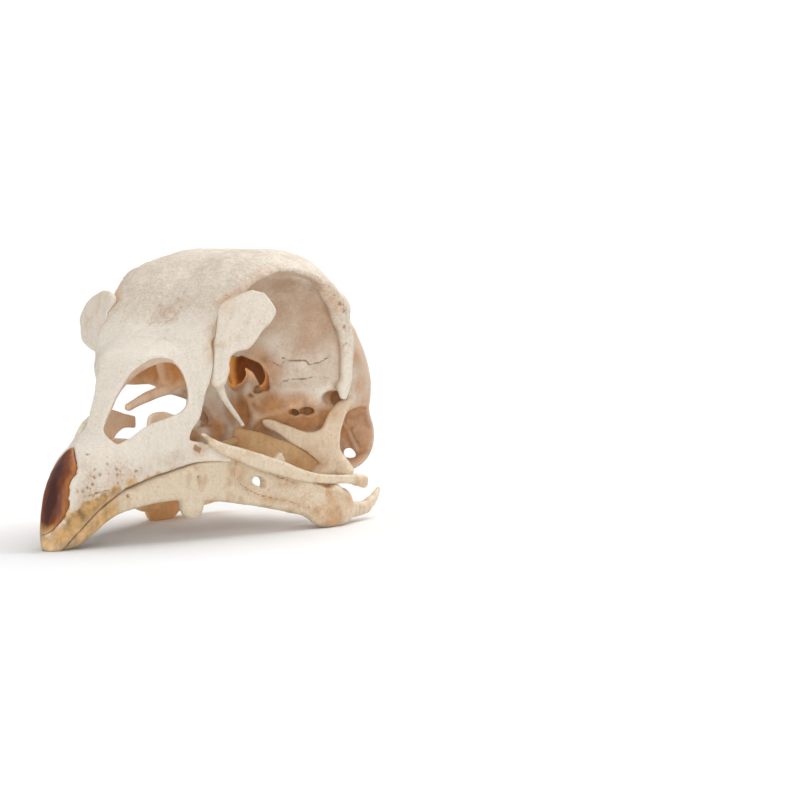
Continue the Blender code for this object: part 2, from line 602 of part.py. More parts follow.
def make_jugal():
    bone = fused("jugal", [strap("rod", [
        (10.6, -13.8, 15.0, 0.45, 0.5), (11.0, -12.6, 14.1, 0.6, 0.55), (11.6, -10.0, 12.9, 0.85, 0.6),
        (12.1, -7.0, 12.0, 1.0, 0.6), (12.8, -2.7, 10.7, 1.1, 0.6), (13.6, 2.6, 9.3, 1.05, 0.6),
        (14.3, 7.0, 8.0, 0.85, 0.6), (15.0, 12.0, 7.2, 0.75, 0.6), (15.4, 17.2, 6.9, 0.75, 0.65),
        (15.3, 20.8, 6.4, 0.85, 0.65), (14.9, 22.8, 5.8, 0.7, 0.65)],
        side=(0, 0.1, 1), steps=2)], rounds=1)
    return thinned(bone, TRIANGLES["jugal"])


def make_mandible():
    pieces = both(strap("ramus", [
        (0.8, -35.3, 0.7, 0.7, 0.9), (2.0, -32.8, 1.9, 1.4, 1.1), (3.1, -30.2, 3.9, 1.5, 1.0),
        (4.3, -27, 5.8, 1.5, 0.9), (5.9, -21.5, 7.2, 1.75, 0.85), (7.6, -16, 8.1, 2.25, 0.8),
        (9.3, -10, 8.4, 3.0, 0.8), (10.5, -4.2, 8.2, 3.6, 0.8), (11.7, 1.9, 7.0, 3.5, 0.8),
        (13.1, 7.8, 5.2, 3.0, 1.0), (14.3, 12.5, 3.5, 2.7, 1.5), (14.2, 17, 3.2, 2.4, 1.9)], side=(0, 0, 1)))
    pieces += both(strap("heel", [
        (14.0, 17, 2.6, 1.8, 1.4), (13.6, 22, 1.8, 1.2, 0.95), (13.0, 26.5, 1.9, 1.0, 0.75),
        (12.3, 30, 2.8, 0.85, 0.65), (12.0, 32, 4.2, 0.5, 0.5)], side=(0, 0.3, 1)))
    pieces = [sagging(piece) for piece in pieces]
    pieces += both(strap("joint_shelf", [
        (11.4, 13.2, 5.2, 1.4, 1.0), (14.6, 14.6, 5.0, 1.4, 1.2)], side=(0, 1, 0)))
    pieces += both(strap("muscle_point", [(11.6, 3.0, 9.2, 1.1, 0.6), (11.4, 5.4, 10.7, 0.9, 0.5)], side=(0, 1, 0)))
    pieces += [ball("angle_L", (14.6, 14.5, 1.7), (1.3, 5.5, 1.95)), ball("angle_R", (-13.8, 11.4, 1.3), (1.3, 4.2, 2.0))]
    pieces += both(strap("knob", [(8.0, -13.4, 7.0, 2.4, 0.9), (8.0, -13.0, 4.8, 1.9, 1.3), (8.0, -12.8, 3.6, 1.2, 1.0)],
                         side=(0, 1, 0)))
    bone = fused("mandible", pieces)
    bone = thinned(bone, TRIANGLES["mandible"])
    for out, up in JAW_WINDOWS:
        carved(bone, [plate("jaw_window", (out, 0.2, up), (0, 1, -0.35), (0, 0.35, 1), WINDOW_OVAL, 3.0, steps=1)])
    return bone


for old in list(bpy.data.objects):
    bpy.data.objects.remove(old)
skull = bpy.data.collections.new("bird_skull")
guides = bpy.data.collections.new("cutters")
bpy.context.scene.collection.children.link(skull)
bpy.context.scene.collection.children.link(guides)

white = material("bone_white", BONE_WHITE, 0.55)
grey = material("bone_grey", BONE_GREY, 0.65)
ochre = material("bone_ochre", BONE_OCHRE, 0.5)
brown = material("horn_brown", HORN_BROWN, 0.3)

cranium = make_cranium()
bill = make_bill()
clear_of(bill, [cranium])
horn = make_horn(bill)
mandible = make_mandible()
sides = []
for side in ("L", "R"):
    lacrimal, quadrate, pterygoid = make_lacrimal(side), make_quadrate(), make_pterygoid()
    palatine, jugal = make_palatine(), make_jugal()
    pairs = [("lacrimal", lacrimal, white), ("quadrate", quadrate, ochre), ("pterygoid", pterygoid, ochre),
             ("palatine", palatine, ochre), ("jugal", jugal, white)]
    if side == "R":
        for bone in (lacrimal, quadrate, pterygoid, palatine, jugal):
            across(bone)
    clear_of(lacrimal, [cranium, bill])
    clear_of(quadrate, [cranium])
    clear_of(pterygoid, [cranium, quadrate])
    clear_of(palatine, [cranium, bill, pterygoid])
    clear_of(jugal, [bill, quadrate])
    for kind, bone, finish in pairs:
        named(bone, kind + "_" + side, finish)
    sides += [quadrate, pterygoid, palatine, jugal]
clear_of(mandible, [bill, horn] + sides)

for bone in (mandible, bill):
    carved(bone, [half_space("floor", (0, 0, 0), (0, 0, -1))])

named(cranium, "cranium", grey)
named(bill, "upper_bill", white)
named(horn, "horn_sheath", brown)
named(mandible, "mandible", white)
for shape in list(skull.objects) + list(guides.objects):
    shape.data.transform(Matrix.Translation((0, -ROWS_MIDDLE_Y * MM, 0)))
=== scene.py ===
"""The skull of a large domestic cock at life size: the braincase with its upper bill and what is left of the
horn on its tip, the lower jaw, and the small bones between them. It rests on the tip of its bill and on the
angles of its lower jaw, on a pale floor.

Every bone is worked out as a field of distances to its surface on a regular grid, in millimetres, joined and
hollowed from rounded forms, then covered with an even mesh. Values kept with each point of the mesh, such as
how far it lies inside the hull or from a crack, steer the colours of its material."""
import math

import bpy
import numpy as np
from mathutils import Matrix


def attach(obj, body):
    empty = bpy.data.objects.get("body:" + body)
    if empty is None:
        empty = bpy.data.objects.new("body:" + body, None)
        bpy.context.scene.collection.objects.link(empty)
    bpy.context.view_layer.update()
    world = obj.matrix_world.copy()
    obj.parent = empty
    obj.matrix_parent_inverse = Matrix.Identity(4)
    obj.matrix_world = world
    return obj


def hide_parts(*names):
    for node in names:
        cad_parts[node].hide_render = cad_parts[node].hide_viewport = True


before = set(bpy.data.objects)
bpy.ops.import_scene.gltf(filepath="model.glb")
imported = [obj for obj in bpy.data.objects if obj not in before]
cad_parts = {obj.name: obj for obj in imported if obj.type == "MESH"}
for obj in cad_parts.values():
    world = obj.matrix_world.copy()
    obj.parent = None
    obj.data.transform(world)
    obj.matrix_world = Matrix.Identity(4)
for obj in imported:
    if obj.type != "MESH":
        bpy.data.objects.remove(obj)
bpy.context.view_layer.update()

MM = 0.001
GRAIN = 0.3      # mm between the points of the large bones' fields
FINE = 0.22     # the same for the small bones
FAR = 6.0                               # a distance that counts as far away
ROWS_MIDDLE_Y = -1.52                   # where the rows below have the middle of the skull's length
SIDES = {"L": 1, "R": -1}
WHOLE_BOX = (-18, -38, -1), (18, 37, 43)            # room for the braincase and the bill
JAW_BOX = (-18, -37, -1), (18, 35, 15)
HORN_BOX = (-4, -38.5, -1), (4, -27, 16)
LACRIMAL_BOX = (6, -16, 13), (20, 2, 38)            # this and the next ones are for the left side
JUGAL_BOX = (8, -14, 3), (18, 27, 16)
QUADRATE_BOX = (2, 6, 5), (18, 25, 21)
PTERYGOID_BOX = (1, 3, 6), (13, 19, 17)
PALATINE_BOX = (0, -28, 8), (9, 7, 16)
ACROSS, BACK, UP = (1, 0, 0), (0, 1, 0), (0, 0, 1)
FLOOR_SIDE = (0, 0, 0), (0, 0, -1)                  # the plane that the skull rests on

# ------------------------------------------------------------------ the forms' rows, in mm
# y, then half of the outline there, from the middle of the underside to the middle of the top
CRANIUM_ROWS = [
    (-12.5, [(0, 27.2), (4.5, 27.2), (7.2, 27.0), (8.6, 27.2), (8.3, 27.9), (4.5, 28.7), (0, 28.6)]),
    (-9.0, [(0, 27.4), (5, 27.6), (8.6, 28.0), (10.3, 29.8), (9.9, 31.1), (5, 32.0), (0, 31.6)]),
    (-5.0, [(0, 22.0), (5, 22.0), (9.0, 26.0), (10.8, 33.5), (10.3, 35.1), (5, 36.2), (0, 35.6)]),
    (0.0, [(0, 15.0), (3, 15.0), (7.0, 20.0), (11.7, 35.5), (11.2, 37.9), (5, 39.2), (0, 38.5)]),
    (5.0, [(0, 14.0), (2.5, 14.0), (7.0, 19.0), (13.2, 34.8), (12.7, 38.3), (6, 40.6), (0, 40.2)]),
    (10.0, [(0, 13.0), (2.5, 13.2), (7.0, 18.0), (14.6, 33.0), (13.9, 37.4), (7.5, 40.7), (0, 40.9)]),
    (15.0, [(0, 11.0), (3.5, 11.3), (9.5, 18.0), (15.5, 28.8), (15.1, 35.1), (8.9, 39.9), (0, 40.7)]),
    (20.0, [(0, 9.5), (5, 9.6), (11.5, 15.5), (15.1, 24.5), (13.1, 31.8), (8.0, 37.6), (0, 39.2)]),
    (25.0, [(0, 8.5), (6, 8.5), (11.5, 12.0), (14.4, 21.0), (12.4, 28.3), (6.8, 34.4), (0, 36.3)]),
    (29.0, [(0, 9.5), (6, 9.5), (10.0, 12.0), (12.4, 18.5), (10.9, 25.0), (5.8, 30.2), (0, 31.8)]),
    (32.0, [(0, 12.5), (4, 12.8), (7.0, 15.0), (8.6, 19.0), (7.4, 23.5), (4, 26.3), (0, 27.0)]),
    (33.6, [(0, 16.5), (1.5, 16.7), (3.0, 18.0), (3.6, 19.5), (3.0, 21.2), (1.5, 22.5), (0, 22.8)]),
]
BILL_ROWS = [
    (-36.9, [(0, -0.2), (0.5, -0.2), (0.8, 0.3), (0.9, 1.1), (0.7, 1.8), (0.3, 2.2), (0, 2.3)]),
    (-35.8, [(0, -0.2), (1.2, -0.4), (1.7, 0.8), (1.9, 2.6), (1.6, 4.2), (0.8, 5.6), (0, 5.9)]),
    (-34.0, [(0, 1.6), (2.4, 1.6), (3.0, 3.0), (2.9, 5.5), (2.4, 7.8), (1.2, 9.4), (0, 9.9)]),
    (-30.0, [(0, 5.0), (3.8, 5.2), (4.6, 6.6), (4.3, 9.4), (3.3, 11.8), (1.6, 13.1), (0, 13.4)]),
    (-26.0, [(0, 7.6), (5.4, 7.9), (6.0, 9.4), (5.5, 11.8), (4.3, 13.8), (2.2, 15.7), (0, 16.1)]),
    (-23.6, [(0, 8.6), (6.2, 8.8), (6.7, 10.4), (6.2, 13.3), (4.9, 16.5), (2.7, 19.5), (0, 20.1)]),
    (-21.5, [(0, 9.3), (6.8, 9.5), (7.2, 11.1), (6.9, 14.6), (5.8, 18.9), (3.5, 22.7), (0, 23.5)]),
    (-19.0, [(0, 9.9), (7.4, 10.0), (7.9, 11.6), (7.7, 15.6), (6.9, 21.0), (4.8, 25.3), (0, 26.1)]),
    (-15.5, [(0, 10.6), (8.1, 10.7), (8.6, 12.3), (8.6, 17.6), (8.3, 24.0), (5.0, 27.0), (0, 27.5)]),
    (-12.3, [(0, 11.0), (8.7, 11.2), (9.2, 12.8), (9.6, 18.0), (9.4, 26.2), (5, 28.7), (0, 29.1)]),
    (-9.6, [(0, 11.4), (9.1, 11.6), (9.5, 13.0), (10.2, 18.5), (10.3, 28.6), (5, 30.8), (0, 31.0)]),
    (-4.0, [(0, 11.8), (9.3, 12.0), (9.7, 13.2), (10.3, 20.0), (10.8, 34.0), (5, 36.5), (0, 36.5)]),
]
NOSE_ROOM = [
    (-26, [(0, 9.5), (2, 9.5), (3, 10), (3.2, 11), (3, 12), (1.5, 13), (0, 13.2)]),
    (-22, [(0, 5), (4.4, 5), (5.4, 9), (5.4, 13), (5, 15.4), (2.5, 18.2), (0, 18.6)]),
    (-12, [(0, 5), (6.5, 5), (8, 9), (9, 17), (9, 26), (4.6, 27.4), (0, 27.6)]),
    (-5, [(0, 5), (8.5, 5), (10.5, 9), (10.5, 17), (10.5, 29), (4.6, 33), (0, 33)]),
]
FOREHEAD_HOLLOW = [
    (-16, [(0, 6), (6, 6), (9, 8), (10.5, 14), (9.8, 22), (5, 25), (0, 25.2)]),
    (-8, [(0, 6), (6, 6), (10.5, 8), (12.5, 16), (9.2, 28.5), (5, 30.8), (0, 30.6)]),
    (-4, [(0, 6), (6, 6), (10.5, 8), (12.5, 16), (9.6, 31.8), (5, 34), (0, 33.6)]),
    (0, [(0, 6), (6, 6), (10.5, 8), (12.5, 16), (10, 33), (5, 36), (0, 36)]),
    (5, [(0, 6), (4, 6), (8, 8), (9.5, 16), (8, 30), (4, 35), (0, 35)]),
    (9, [(0, 10), (1, 10), (2, 12), (3, 16), (3, 25), (1.5, 30), (0, 32)]),
]
NERVE_HOLES = [
    ((7.8, 14.6, 16.8), (0.62, 1.3, 0.5)), ((9.1, 16.0, 16.9), (0.85, 1.3, 0.55)),
    ((3.5, 10.9, 20.1), (0.5, 1.0, 0.55)), ((3.2, 9.4, 19.3), (0.3, 0.8, 0.25))]
EYE_CENTRE, EYE_RADII = (14.0, 4.8, 25.3), (13.2, 13.2, 12.7)

# outlines: places in a plane, right and up from its centre
NOSTRIL = [
    (-5.8, -2.9), (-5.1, -1.2), (-4.4, 0.6), (-2.6, 3.7), (-1.2, 5.0), (0.3, 5.9), (1.7, 6.2), (3.1, 5.85),
    (4.5, 4.3), (5.35, 2.0), (5.5, 0.5), (5.0, -1.0), (3.1, -2.1), (0.3, -3.2), (-1.2, -4.2), (-2.6, -5.6),
    (-4.0, -6.6), (-5.4, -5.6), (-6.1, -4.3)]
BEHIND_NASAL_BAR = [
    (-0.9, 9.5), (-1.2, 5.0), (-2.7, 0.8), (-3.6, -2.6), (-5.2, -4.8), (-4.2, -6.2), (6.0, -6.6), (6.0, 9.5)]
SEPTUM = [
    (-8.8, 31), (-8.6, 22.3), (-2.5, 20.2), (3, 17.2), (7, 13.5), (16, 13), (17, 25), (12, 38), (2, 38)]
NERVE_OPENING = [
    (-2.5, 2.4), (-2.6, 0.6), (-2.4, -1.0), (-1.8, -2.3), (-1.2, -2.6), (-0.3, -1.5), (0.2, -0.4), (0.0, 1.1),
    (-0.9, 2.4)]
PALATE_WING = [
    (-7.5, 1.6), (-4.2, 2.3), (-0.5, 1.5), (5.3, 0.3), (4.5, -0.6), (3.3, -0.9), (-0.5, -0.5), (-2.8, -1.3),
    (-3.5, -1.8), (-4.8, -1.9), (-7.0, -2.2)]
PALATE_SHELF = [(-2.6, -4.5), (2.3, -4.5), (2.8, 4.0), (1.4, 6.0), (-0.6, 5.4), (-1.6, 2.0)]
PALATE_FRONT = [(-4, -3), (4, -3), (5, 4.5), (3.5, 4.8), (0, 4), (-3.5, 4.8), (-5, 4.5)]
FOREHEAD_PLATE = [(-4.6, -4.5), (-1.0, -4.4), (3.0, -4.6), (5.4, -4.2), (6.0, -1.0), (6.0, 6.0), (-4.6, 6.0)]
HORN_FRONT = [
    (-1.0, 14.6), (0.2, 13.1), (1.7, 11.0), (1.6, 9.2), (1.9, 7.8), (2.1, 6.0), (1.6, 4.2),
    (0.3, 2.6), (-1.2, 2.4), (-2.0, 4.5), (-2.5, 8.0), (-2.7, 11.0), (-2.2, 13.6)]
LACRIMAL_FOOT = [
    (-2.0, -4.9), (-2.1, -5.7), (-1.9, -7.1), (-2.6, -8.9), (-4.1, -9.3), (-4.2, -7.4), (-4.3, -5.6),
    (-4.7, -3.5), (-4.8, -0.6), (-4.7, 1.3)]
LACRIMAL_WING = {
    "L": [(-4.2, 2.7), (-2.4, 3.75), (-1.8, 4.2), (-0.4, 5.0), (0.3, 5.0), (1.0, 4.9), (1.6, 4.8), (2.6, 3.9),
          (3.5, 2.9), (3.7, 2.1), (3.4, 1.2), (2.8, 0.2), (2.1, -0.7), (1.4, -2.1), (0.9, -3.0), (0.3, -3.55),
          (-0.7, -3.9), (-1.4, -4.2)],
    "R": [(-5.0, 3.0), (-3.3, 4.3), (-0.9, 4.2), (1.8, 3.2), (3.2, 1.9), (3.7, 0.4), (3.0, -1.15),
          (2.3, -2.7), (1.1, -3.5), (-0.3, -4.2), (-1.4, -4.6)]}
QUADRATE_BLADE = [
    (-11.4, 3.9), (-11.0, 4.1), (-9.4, 3.7), (-7.4, 3.0), (-5.1, 2.1), (-3.3, 1.8), (-1.75, 2.4), (-0.9, 4.2),
    (-0.1, 5.2), (1.2, 6.1), (2.2, 6.8), (2.9, 6.5), (2.6, 5.6), (1.9, 4.6), (1.2, 2.75), (0.7, 0.1),
    (1.2, -1.3), (2.3, -2.7), (2.6, -4.0), (2.3, -4.8), (0.2, -4.9), (-2.4, -4.6), (-3.0, -3.0), (-4.2, -1.6),
    (-6.2, -0.1), (-8.5, 1.6), (-10.4, 2.6)]

# x, y, z, half height, half thickness
RAMUS = [
    (0.8, -35.3, 0.7, 0.7, 0.9), (2.0, -32.8, 1.9, 1.4, 1.1), (3.1, -30.2, 3.9, 1.5, 1.0),
    (4.3, -27, 5.8, 1.5, 0.9), (5.9, -21.5, 7.2, 1.75, 0.85), (7.6, -16, 8.1, 2.25, 0.8),
    (9.3, -10, 8.4, 3.0, 0.75), (10.5, -4.2, 8.2, 3.6, 0.7), (11.7, 1.9, 7.0, 3.5, 0.75),
    (13.1, 7.8, 5.2, 3.0, 1.0), (14.3, 12.5, 3.5, 2.7, 1.5), (14.2, 17, 3.2, 2.4, 1.9)]
# y, and how far the right ramus hangs lower there
FAR_SAG = [-36, -20, -12, -4, 4, 9, 14, 20, 27, 34], [0, 0, 0.5, 1.1, 1.3, 0.9, 0, -0.4, -0.9, -0.9]
# centre and radii of each angle, and of each window with its tilt and blend
ANGLES = [((14.6, 14.4, 1.6), (1.3, 5.2, 1.85)), ((-13.8, 11.2, 1.3), (1.2, 4.0, 1.9))]
JAW_WINDOWS = [
    ((12.0, -3.0, 8.1), (1.25, 2.5, 1.15), -12, 0.4), ((11.2, -0.4, 7.5), (3, 1.15, 0.75), -25, 0.2)]
JUGAL = [                               # x, y, z, half height
    (10.6, -13.8, 15.0, 0.4), (11.0, -12.6, 14.1, 0.55), (11.6, -10.0, 12.9, 0.8), (12.1, -7.0, 12.0, 1.0),
    (12.8, -2.7, 10.7, 1.15), (13.6, 2.6, 9.3, 1.1), (14.3, 7.0, 8.0, 0.85), (15.0, 12.0, 7.2, 0.68),
    (15.4, 17.2, 6.9, 0.65), (15.3, 20.8, 6.4, 0.85), (14.9, 22.8, 5.8, 0.65)]

# ------------------------------------------------------------------ fields of distances
CORNERS = np.array([(i, j, k) for i in (0, 1) for j in (0, 1) for k in (0, 1)])
EDGES = [(a, b) for a in range(8) for b in range(a + 1, 8) if np.abs(CORNERS[a] - CORNERS[b]).sum() == 1]


class Form:
    """A form by its box and a function from places to distances. A broad one is worked out on every second
    point, because it has no detail finer than that."""

    def __init__(self, low, high, distance, broad=False):
        self.low, self.high = np.array(low, float), np.array(high, float)
        self.distance, self.broad = distance, broad


def unit(v):
    v = np.array(v, float)
    return v / np.linalg.norm(v)


def on_curve(rows, steps, closed=False):
    """Rows on a smooth curve through the given rows."""
    rows = np.array(rows, float)
    if closed:
        line = np.vstack([rows[-1], rows, rows[0], rows[1]])
    else:
        line = np.vstack([2 * rows[0] - rows[1], rows, 2 * rows[-1] - rows[-2]])
    result = []
    for a, b, c, d in zip(line, line[1:], line[2:], line[3:]):
        for t in np.linspace(0, 1, steps, endpoint=False):
            result.append(b + 0.5 * t * (c - a + t * (2 * a - 5 * b + 4 * c - d + t * (3 * (b - c) + d - a))))
    return np.array(result if closed else result + [rows[-1]])


def ball(centre, radii, tilt=0.0):
    """An ellipsoid, tilted about the x axis by some degrees."""
    centre, radii = np.array(centre, float), np.broadcast_to(np.array(radii, float), 3)
    c, s = math.cos(math.radians(tilt)), math.sin(math.radians(tilt))
    turn = np.array([[1, 0, 0], [0, c, -s], [0, s, c]])
    reach = np.sqrt(((turn * radii) ** 2).sum(1))

    def distance(p):
        q = (p - centre) @ turn
        size = np.linalg.norm(q / radii, axis=-1)
        return size * (size - 1) / np.maximum(np.linalg.norm(q / radii ** 2, axis=-1), 1e-6)
    return Form(centre - reach, centre + reach, distance)


def strap(rows, side=(1, 0, 0)):
    """A flat rod through rows of x, y, z, half width along side, half thickness."""
    rows = np.array(rows, float)
    side = np.array(side, float)

    def distance(p):
        best = np.full(p.shape[:-1], 1e9)
        for a, b in zip(rows[:-1], rows[1:]):
            length = np.linalg.norm(b[:3] - a[:3])
            along = (b[:3] - a[:3]) / length
            across = unit(side - along * (side @ along))
            q = p - a[:3]
            h = np.clip(q @ along / length, 0, 1)
            wide, thick = (a[k] + (b[k] - a[k]) * h for k in (3, 4))
            corner = np.minimum(wide, thick)
            x = np.abs(q @ across) - (wide - corner)
            z = np.abs(q @ np.cross(along, across)) - (thick - corner)
            beyond = q @ along - h * length
            out = np.sqrt(np.maximum(x, 0) ** 2 + np.maximum(z, 0) ** 2 + beyond ** 2)
            best = np.minimum(best, out + np.minimum(np.maximum(x, z), 0) - corner)
        return best
    margin = rows[:, 3:].max(1)[:, None]
    return Form((rows[:, :3] - margin).min(0), (rows[:, :3] + margin).max(0), distance)


def to_outline(u, v, outline):
    """Distance in a plane to a closed outline, negative inside."""
    best = np.full(u.shape, 1e9)
    inside = np.zeros(u.shape, bool)
    for start, step in zip(outline, np.roll(outline, -1, 0) - outline):
        du, dv = u - start[0], v - start[1]
        h = np.clip((du * step[0] + dv * step[1]) / max(step @ step, 1e-12), 0, 1)
        best = np.minimum(best, (du - step[0] * h) ** 2 + (dv - step[1] * h) ** 2)
        if abs(step[1]) > 1e-9:
            crossed = (start[1] > v) != (start[1] + step[1] > v)
            inside ^= crossed & (u < start[0] + step[0] * dv / step[1])
    return np.where(inside, -1, 1) * np.sqrt(best)


def plate(centre, right, up, outline, half, steps=4, dome=0.0):
    """A plate with a smooth outline and rounded edges; dome bends it along its normal."""
    centre, right = np.array(centre, float), unit(right)
    up = unit(np.array(up, float) - right * (right @ np.array(up, float)))
    normal = np.cross(right, up)
    outline = on_curve(outline, steps, closed=True) if steps > 1 else np.array(outline, float)

    def distance(p):
        u, v, w = (p - centre) @ right, (p - centre) @ up, (p - centre) @ normal
        corner = 0.7 * half
        edge = to_outline(u, v, outline) + corner
        face = np.abs(w - dome * (u * u + v * v)) - half + corner
        return (np.minimum(np.maximum(edge, face), 0) - corner
                + np.sqrt(np.maximum(edge, 0) ** 2 + np.maximum(face, 0) ** 2))
    reach = half + abs(dome) * (outline ** 2).sum(1).max()
    corners = centre + outline @ np.array([right, up])
    return Form(corners.min(0) - reach, corners.max(0) + reach, distance)


def loft(rows):
    """A body through half outlines, mirrored over the middle plane."""
    ys = np.array([row[0] for row in rows], float)
    halves = np.array([row[1] for row in rows], float)

    def slope(k):
        a, b = max(k - 1, 0), min(k + 1, len(ys) - 1)
        return (halves[b] - halves[a]) / (ys[b] - ys[a])

    def outline(y):
        i = int(np.clip(np.searchsorted(ys, y) - 1, 0, len(ys) - 2))
        span = ys[i + 1] - ys[i]
        t = np.clip((y - ys[i]) / span, 0, 1)
        half = ((2 * t ** 3 - 3 * t * t + 1) * halves[i] + (t ** 3 - 2 * t * t + t) * span * slope(i)
                + (3 * t * t - 2 * t ** 3) * halves[i + 1] + (t ** 3 - t * t) * span * slope(i + 1))
        half[:, 0] = np.maximum(half[:, 0], 0)
        other = (half * [-1, 1])[::-1]
        return on_curve(np.vstack([half, other[other[:, 0] < -1e-6]]), 5, closed=True)

    def distance(p):
        y = p[0, :, 0, 1]
        flat = np.stack([to_outline(p[:, j, :, 0], p[:, j, :, 2], outline(np.clip(y[j], ys[0], ys[-1])))
                         for j in range(len(y))], 1)
        steep = np.sqrt(sum(g * g for g in np.gradient(flat, y[1] - y[0])))
        beyond = np.maximum(np.maximum(ys[0] - y, y - ys[-1]), -3.0)[None, :, None]
        return np.maximum(flat / np.clip(steep, 0.6, 3.0), beyond)
    x, z = halves.reshape(-1, 2).T
    return Form([-x.max() - 0.5, ys[0], z.min() - 0.5], [x.max() + 0.5, ys[-1], z.max() + 0.5],
                distance, broad=True)


def half_space(centre, towards):
    """Everything beyond a plane, in the direction towards."""
    centre, towards = np.array(centre, float), unit(towards)
    return Form(np.full(3, -90.0), np.full(3, 90.0), lambda p: -((p - centre) @ towards), broad=True)


def both(form):
    """A form and its mirror image over the middle plane."""
    reach = max(abs(form.low[0]), abs(form.high[0]))

    def distance(p):
        return form.distance(np.concatenate([np.abs(p[..., :1]), p[..., 1:]], -1))
    return Form([-reach, *form.low[1:]], [reach, *form.high[1:]], distance, form.broad)


def flipped(form):
    """The mirror image of a form over the middle plane."""
    return Form([-form.high[0], *form.low[1:]], [-form.low[0], *form.high[1:]],
                lambda p: form.distance(p * (-1, 1, 1)), form.broad)


def grown(form, by):
    return Form(form.low - max(by, 0), form.high + max(by, 0), lambda p: form.distance(p) - by, form.broad)


def shared(a, b):
    """What two forms have in common."""
    low, high = np.maximum(a.low, b.low), np.minimum(a.high, b.high)
    return Form(low, high, lambda p: np.maximum(a.distance(p), b.distance(p)), a.broad and b.broad)


def less(a, b):
    """The first form without the second."""
    return Form(a.low, a.high, lambda p: np.maximum(a.distance(p), -b.distance(p)), a.broad and b.broad)


def doubled(values, axis):
    """Values with the middle between each two neighbours put in."""
    a = np.moveaxis(values, axis, 0)
    result = np.empty((2 * len(a) - 1, *a.shape[1:]), a.dtype)
    result[::2] = a
    result[1::2] = (a[:-1] + a[1:]) / 2
    return np.moveaxis(result, 0, axis)


def softly_least(a, b, blend):
    """The smaller of two distances, rounded over a band of `blend`."""
    return np.minimum(a, b) - np.maximum(blend - np.abs(a - b), 0) ** 2 / (4 * blend)


class Field:
    """Distances to a bone's surface on a grid, negative inside the bone."""

    def __init__(self, low, high, step):
        self.low, self.step = np.array(low, float), step
        self.size = np.ceil((np.array(high, float) - self.low) / step).astype(int) + 1
        self.value = np.full(self.size, FAR, np.float32)

    def points(self, first, count, stride=1):
        axes = [self.low[i] + self.step * (first[i] + stride * np.arange(count[i])) for i in range(3)]
        return np.stack(np.meshgrid(*axes, indexing="ij"), -1)

    def measured(self, form, margin):
        """The part of the grid near a form, and the form's distances there."""
        first = np.clip(np.floor((form.low - margin - self.low) / self.step).astype(int), 0, self.size)
        last = np.clip(np.ceil((form.high + margin - self.low) / self.step).astype(int) + 1, 0, self.size)
        count = last - first
        if (count <= 1).any():
            return None, None
        if form.broad:
            values = form.distance(self.points(first, count // 2 + 1, 2)).astype(np.float32)
            for axis in range(3):
                values = doubled(values, axis)
            values = values[:count[0], :count[1], :count[2]]
        else:
            values = form.distance(self.points(first, count)).astype(np.float32)
        return tuple(slice(a, b) for a, b in zip(first, last)), values

    def add(self, form, blend=0.5):
        part, values = self.measured(form, blend + 3 * self.step)
        if part:
            self.value[part] = softly_least(self.value[part], values, blend)
        return self

    def cut(self, form, blend=0.3):
        part, values = self.measured(form, blend + 3 * self.step)
        if part:
            self.value[part] = -softly_least(-self.value[part], values, blend)
        return self

    def keep(self, form, blend=0.3):
        values = form.distance(self.points((0, 0, 0), self.size)).astype(np.float32)
        self.value = -softly_least(-self.value, -values, blend)
        return self

    def join(self, other, blend):
        """Adds a field on the same grid."""
        self.value = softly_least(self.value, other.value, blend)
        return self

    def clear_of(self, other, gap=0.06):
        """Cuts the bone back where another one stands."""
        near = other.at(self.points((0, 0, 0), self.size).reshape(-1, 3)).reshape(self.size)
        self.value = np.maximum(self.value, (gap - near).astype(np.float32))
        return self

    def at(self, places, values=None):
        """Values between the grid's points; far away beyond its edge."""
        values = self.value if values is None else values
        q = (places - self.low) / self.step
        outside = ((q < 0) | (q > self.size - 1)).any(1)
        i = np.clip(np.floor(q).astype(int), 0, self.size - 2)
        t = np.clip(q - i, 0, 1)
        total = 0
        for corner in CORNERS:
            total = total + np.prod(np.where(corner, t, 1 - t), 1) * values[tuple((i + corner).T)]
        return np.where(outside, FAR, total)

    def mirrored(self):
        """The same bone of the other side."""
        other = Field.__new__(Field)
        other.step, other.size = self.step, self.size
        other.low = np.array([-(self.low[0] + self.step * (self.size[0] - 1)), self.low[1], self.low[2]])
        other.value = self.value[::-1].copy()
        return other

    def fullness(self, sigma):
        """How full of bone the space around each point is, from 0 to 1: about 0.5 on an even surface, more
        in a hollow, less on an edge. sigma is the reach in mm."""
        values = np.clip(0.5 - self.value / self.step, 0, 1)
        half = max(1, round(sigma / self.step - 0.5))
        for axis in (0, 1, 2) * 3:
            a = np.moveaxis(values, axis, 0)
            none = np.zeros((half, *a.shape[1:]), a.dtype)
            run = np.cumsum(np.concatenate([none[:1], none, a, none]), 0)
            values = np.moveaxis((run[2 * half + 1:] - run[:-2 * half - 1]) / (2 * half + 1), 0, axis)
        return values


